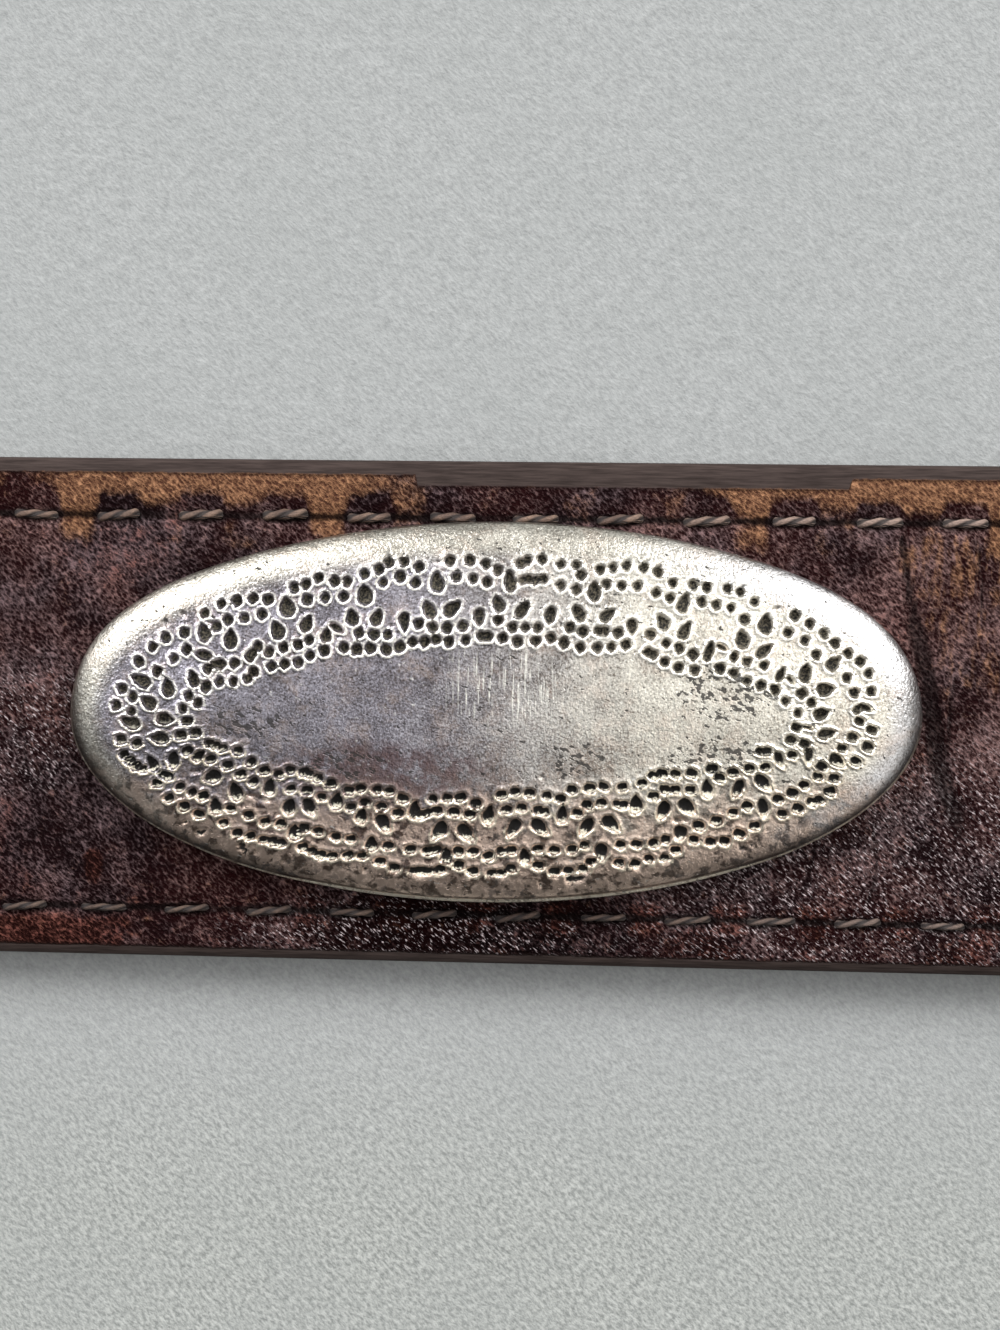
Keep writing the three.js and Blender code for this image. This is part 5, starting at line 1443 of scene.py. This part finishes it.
def make_silver():
    material, place, (x, y, _), shader = new_material("aged silver")
    pit = attribute(place.tree, "pit")
    burr = attribute(place.tree, "burr")
    lower = attribute(place.tree, "lower")
    fine = noise(place, 0.28, 2, 0.7)
    grit = noise(place, 0.42, 3, 0.7)
    cloudy = noise(place, 3.2, 5, 0.65)
    specks = noise(place, 0.17, 2, 0.7)
    plate, low = plate_tarnish_and_painted_light(place, x, y, attribute(place.tree, "inset"), cloudy, specks, grit)

    # Black nicks in clusters, painted glints, and scratches in the middle
    clustered = larger(*(spot(place, *where) for where in NICK_CLUSTERS))
    dents = noise(slanting(place, 25, 0.6), 0.36, 2, 0.6)
    nicks = step_up(dents + clustered * 0.13, 0.66, 0.7)
    soiled = (patches(place, 0.7, 0.38, 0.05) * patches(place, 5, 0.55, 0.05) * low
              * step_up(pit, 0.0, 0.02, 1.0, 0.0) * 0.8)
    scratched = effect(scratches, place, Turn=0.0, Amount=0.56) * spot(place, 1.2, 2.2, 4.6, 3)
    plate = tint(scratched * 0.8, plate, srgb(255, 252, 242))
    # Painted highlight: small glints lightened into the plate
    plate = tint(step_up(dents, 0.31, 0.26) * 0.5, plate, srgb(255, 252, 246))

    # Rough sooty floors of the punch marks. They are blacker in the lower half as painted shade, where the
    # lower walls are painted lit. Their lips are rubbed bright, with a painted highlight on top: whiter in
    # the upper half, and brightest on each pit's lower side, most of all in the lower half
    near_half = step_up(y, 1, -4)
    floor = step_up(pit + (fine - 0.5) * 0.8 + near_half * 0.2, 0.35, 0.75)
    soot_shade_and_lit_wall = tint(step_up(specks, 0.42, 0.66), srgb(10, 9, 7), srgb(112, 104, 88))
    # Painted shade: the pits of the lower half are blacker
    soot_shade_and_lit_wall = tint(near_half, soot_shade_and_lit_wall, srgb(16, 12, 10))
    # Painted light: the lower walls of the lower half's pits are shown lit
    lit_wall = step_up(lower + (grit - 0.5) * 1.6, 0.35, 0.6) * near_half
    wall = tint(step_up(specks, 0.36, 0.5), srgb(120, 108, 88), srgb(250, 244, 226))
    soot_shade_and_lit_wall = tint(lit_wall, soot_shade_and_lit_wall, wall)
    # Painted highlight: the lips' colour and strength change with the side that faces the light
    worn_and_lit_lip_colour = tint(near_half, srgb(250, 246, 236), srgb(232, 220, 198))
    lip = step_up(burr, 0.3, 0.7) * blend_value(near_half, step_up(lower, -0.9, 0.3, 0.5, 1.0),
                                                step_up(lower, -0.3, 0.4, 0.12, 1.0))
    plate = tint(lip * 0.9, plate, worn_and_lit_lip_colour)
    black = larger(nicks * 0.9, soiled)
    tint(black, tint(floor, plate, soot_shade_and_lit_wall), srgb(22, 18, 16)).into(shader["Base Color"])

    rough_places = larger(floor, black)
    (1.0 - rough_places * 0.85).into(shader["Metallic"])
    roughness = straight(grit * 0.6 + cloudy * 0.4, 0.3, 0.7, 0.26, 0.44)
    blend_value(rough_places, roughness, 0.75).into(shader["Roughness"])
    bump(fine + (grit * 0.5 - nicks * 0.5), 0.06).into(shader["Normal"])
    return material


def make_buckle_metal():
    material, place, _, shader = new_material("buckle metal")
    fine = noise(place, 0.3, 4, 0.7)
    colour = tint(fine, srgb(140, 134, 128), srgb(206, 200, 190))
    tint(patches(place, 3, 0.4, 0.12) * 0.6, colour, srgb(96, 86, 76)).into(shader["Base Color"])
    shader["Metallic"].default_value = 1.0
    straight(fine, 0.3, 0.7, 0.26, 0.44).into(shader["Roughness"])
    scratched = effect(scratches, place, Turn=0.6, Amount=0.25)
    bump(fine * 0.5 + scratched * 0.3, 0.03).into(shader["Normal"])
    return material


def make_thread():
    """Two plies wound round each other. The near row is darker, and each stitch is darkened at its ends as
    painted shade, where it dives into the leather.
    """
    material, place, (x, y, _), shader = new_material("twisted thread")
    along = attribute(place.tree, "along")
    turns = along * (1 / PLY_TURN) + attribute(place.tree, "round")
    ply = straight(math_node("COSINE", turns * (PLIES * 2 * math.pi)), -1, 1)
    fibre = noise(stretched(place, (1.2, 6, 6), -0.35), 0.4, 4, 0.75)
    shade = noise(place, 2.2, 3, 0.6)
    light = tint(step_up(shade, 0.3, 0.7), srgb(92, 70, 60), srgb(142, 116, 100))
    light = tint(step_up(x, 5, 30), light, srgb(158, 134, 122))
    share = step_up(ply, 0.1, 0.85, 0.08, 1.0) * straight(fibre, 0.32, 0.68, 0.35, 1.25)
    # Painted shade at each stitch's ends, where it dives into its holes
    share = share * straight(step_up(abs(along), 1.9, 1.2), 0, 1, 0.3, 1)
    share = share * step_up(y, -5, 5, 0.48, 1.0)
    tint(share, srgb(24, 14, 13), light).into(shader["Base Color"])
    shader["Roughness"].default_value = 0.6
    bump(math_node("SQRT", ply) + fibre * 0.7, 0.12).into(shader["Normal"])
    return material


def make_felt():
    """Pale felt, woollier on the viewer's side of the belt."""
    material, place, (_, y, _), shader = new_material("pale felt")
    clumps = noise(place, 1.2, 4, 0.6)
    fibres = noise(slanting(place, 45, 0.6), 0.3, 2, 0.7)
    broad = noise(place, 14, 4, 0.6)
    soft = straight(blend_value(0.55, clumps, fibres), 0.32, 0.68)
    soft = tint(soft, srgb(144, 146, 146), srgb(170, 172, 172))
    woolly = tint(straight(fibres, 0.34, 0.66), srgb(126, 129, 126), srgb(179, 181, 177))
    colour = tint(straight(step_up(y, -20, -42), 0, 1, 0.12, 0.9), soft, woolly)
    tint(step_up(broad, 0.35, 0.7) * 0.25, colour, srgb(149, 152, 151)).into(shader["Base Color"])
    shader["Roughness"].default_value = 0.95
    shader["Specular IOR Level"].default_value = 0.1
    bump(clumps + fibres * 0.7, 0.1).into(shader["Normal"])
    return material


# Floor, light and camera

def make_floor():
    bpy.ops.mesh.primitive_plane_add(size=FLOOR_SIZE, location=(0, 0, -FLOOR_DROP * MM))
    floor = new_piece("felt_floor")
    paint(floor, make_felt())


def soft_box(name, place):
    """A rectangular lamp beyond the belt, aimed at its middle."""
    light = bpy.data.lights.new(name, "AREA")
    light.shape = "RECTANGLE"
    light.size, light.size_y = SOFT_BOX_SIZE
    light.energy = SOFT_BOX_WATTS
    obj = bpy.data.objects.new(name, light)
    obj.location = place
    obj.rotation_euler = (-Vector(place)).to_track_quat("-Z", "Y").to_euler()
    bpy.context.collection.objects.link(obj)


def light_the_set():
    """A dim room behind the viewer, a bright one beyond the belt, and the ceiling brighter to the right."""
    world = bpy.data.worlds.new("studio")
    bpy.context.scene.world = world
    world.use_nodes = True
    tree = world.node_tree
    x, y, z = split(node("ShaderNodeTexCoord", {}, "Generated", tree))
    aside = abs(x)
    room_corners = (step_up(aside, 0.2, 0.6) * step_up(aside, 0.95, 0.7, 0.3, 1.0) * step_up(y, 0.15, 0.55)
                    * straight(x, -0.3, 0.3, 0.52, 0.66))
    beyond = step_up(y, -0.22, 0.25) * (room_corners + 0.31)
    behind = (step_up(aside, 0.4, 0.65) * step_up(aside, 0.97, 0.75, 0.25, 1.0)
              * step_up(x, -0.1, 0.1, 0.2, 0.4))
    behind = step_up(x, -0.4, 0.1, 0.1, 0.14) + behind
    right_window = step_up(x, 0.2, 0.45) * step_up(x, 0.92, 0.7) * step_up(y, -0.52, -0.25) * 0.85
    low_glow = step_up(x, 0.5, 0.64) * step_up(y, -0.85, -0.7) * step_up(y, -0.3, -0.5) * 0.8
    left_window = step_up(x, -0.3, -0.55) * step_up(y, -0.35, 0.05) * 0.3
    glint = (step_up(x, -0.55, -0.68) * step_up(x, -0.97, -0.88) * step_up(y, -0.08, 0.08)
             * step_up(y, 0.42, 0.24) * 0.75)
    windows = right_window + low_glow + left_window + glint
    ceiling = straight(x, -0.35, 0.3, 0.3, 1.32) + step_up(x, -0.04, 0.12) * 0.3
    level = blend_value(step_up(z, 0.84, 0.975), behind + windows + beyond, ceiling)
    background = next(n for n in tree.nodes if n.type == "BACKGROUND").inputs
    tint(step_up(x, -0.5, 0.6), COOL_LIGHT, WARM_LIGHT).into(background["Color"])
    level.into(background["Strength"])
    soft_box("soft box far left", (-0.85, 0.9, 0.75))
    soft_box("soft box far right", (0.85, 0.9, 0.8))


def set_camera():
    data = bpy.data.cameras.new("camera")
    data.sensor_width = CAMERA_SENSOR
    data.lens = CAMERA_LENS
    data.clip_start, data.clip_end = CAMERA_CLIP
    camera = bpy.data.objects.new("camera", data)
    camera.location = Vector(CAMERA_PLACE) * MM
    camera.rotation_euler = [math.radians(degrees) for degrees in CAMERA_TURN]
    bpy.context.collection.objects.link(camera)
    bpy.context.scene.camera = camera


# The belt, piece by piece

def finish_piece(obj, material, slot, *nodes):
    """Paints a piece, sets it on the belt's one body and hides the CAD nodes that it stands for."""
    paint(obj, material)
    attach(obj, "root")
    if nodes:
        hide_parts(*nodes)


soft_spot = make_soft_spot()
ragged_patches = make_patches()
pebbled_grain = make_grain()
scratches = make_scratches()
thread = make_thread()
buckle_metal = make_buckle_metal()

pick_nothing()
strap_face, rows = make_strap_face()
finish_piece(strap_face, make_leather(), "leather", "strap_face")
finish_piece(make_backing(), make_backing_leather(), "backing", "strap_backing")

pattern = make_one_stitch()
for side, (seed, under_seed, slim) in STITCH_ROWS.items():
    places = rows.places(side)
    top_row = sew(f"stitches_{side}", pattern, places, STITCH_HEIGHT, seed, slim=slim)
    finish_piece(top_row, thread, "thread")
    under_row = sew(f"stitches_{side}_under", pattern, places, UNDER_STITCH_HEIGHT, under_seed,
                    upside_down=True, squash=UNDER_SQUASH)
    finish_piece(under_row, thread, "thread")
bpy.data.objects.remove(pattern)

finish_piece(make_concho(), make_silver(), "aged_silver", "concho")
finish_piece(make_post(), buckle_metal, "buckle_metal", "concho_post")
finish_piece(make_buckle_frame(), buckle_metal, "buckle_metal", "buckle")
finish_piece(make_prong(), buckle_metal, "buckle_metal")

make_floor()
light_the_set()
set_camera()
bpy.context.scene.view_settings.view_transform = "Standard"
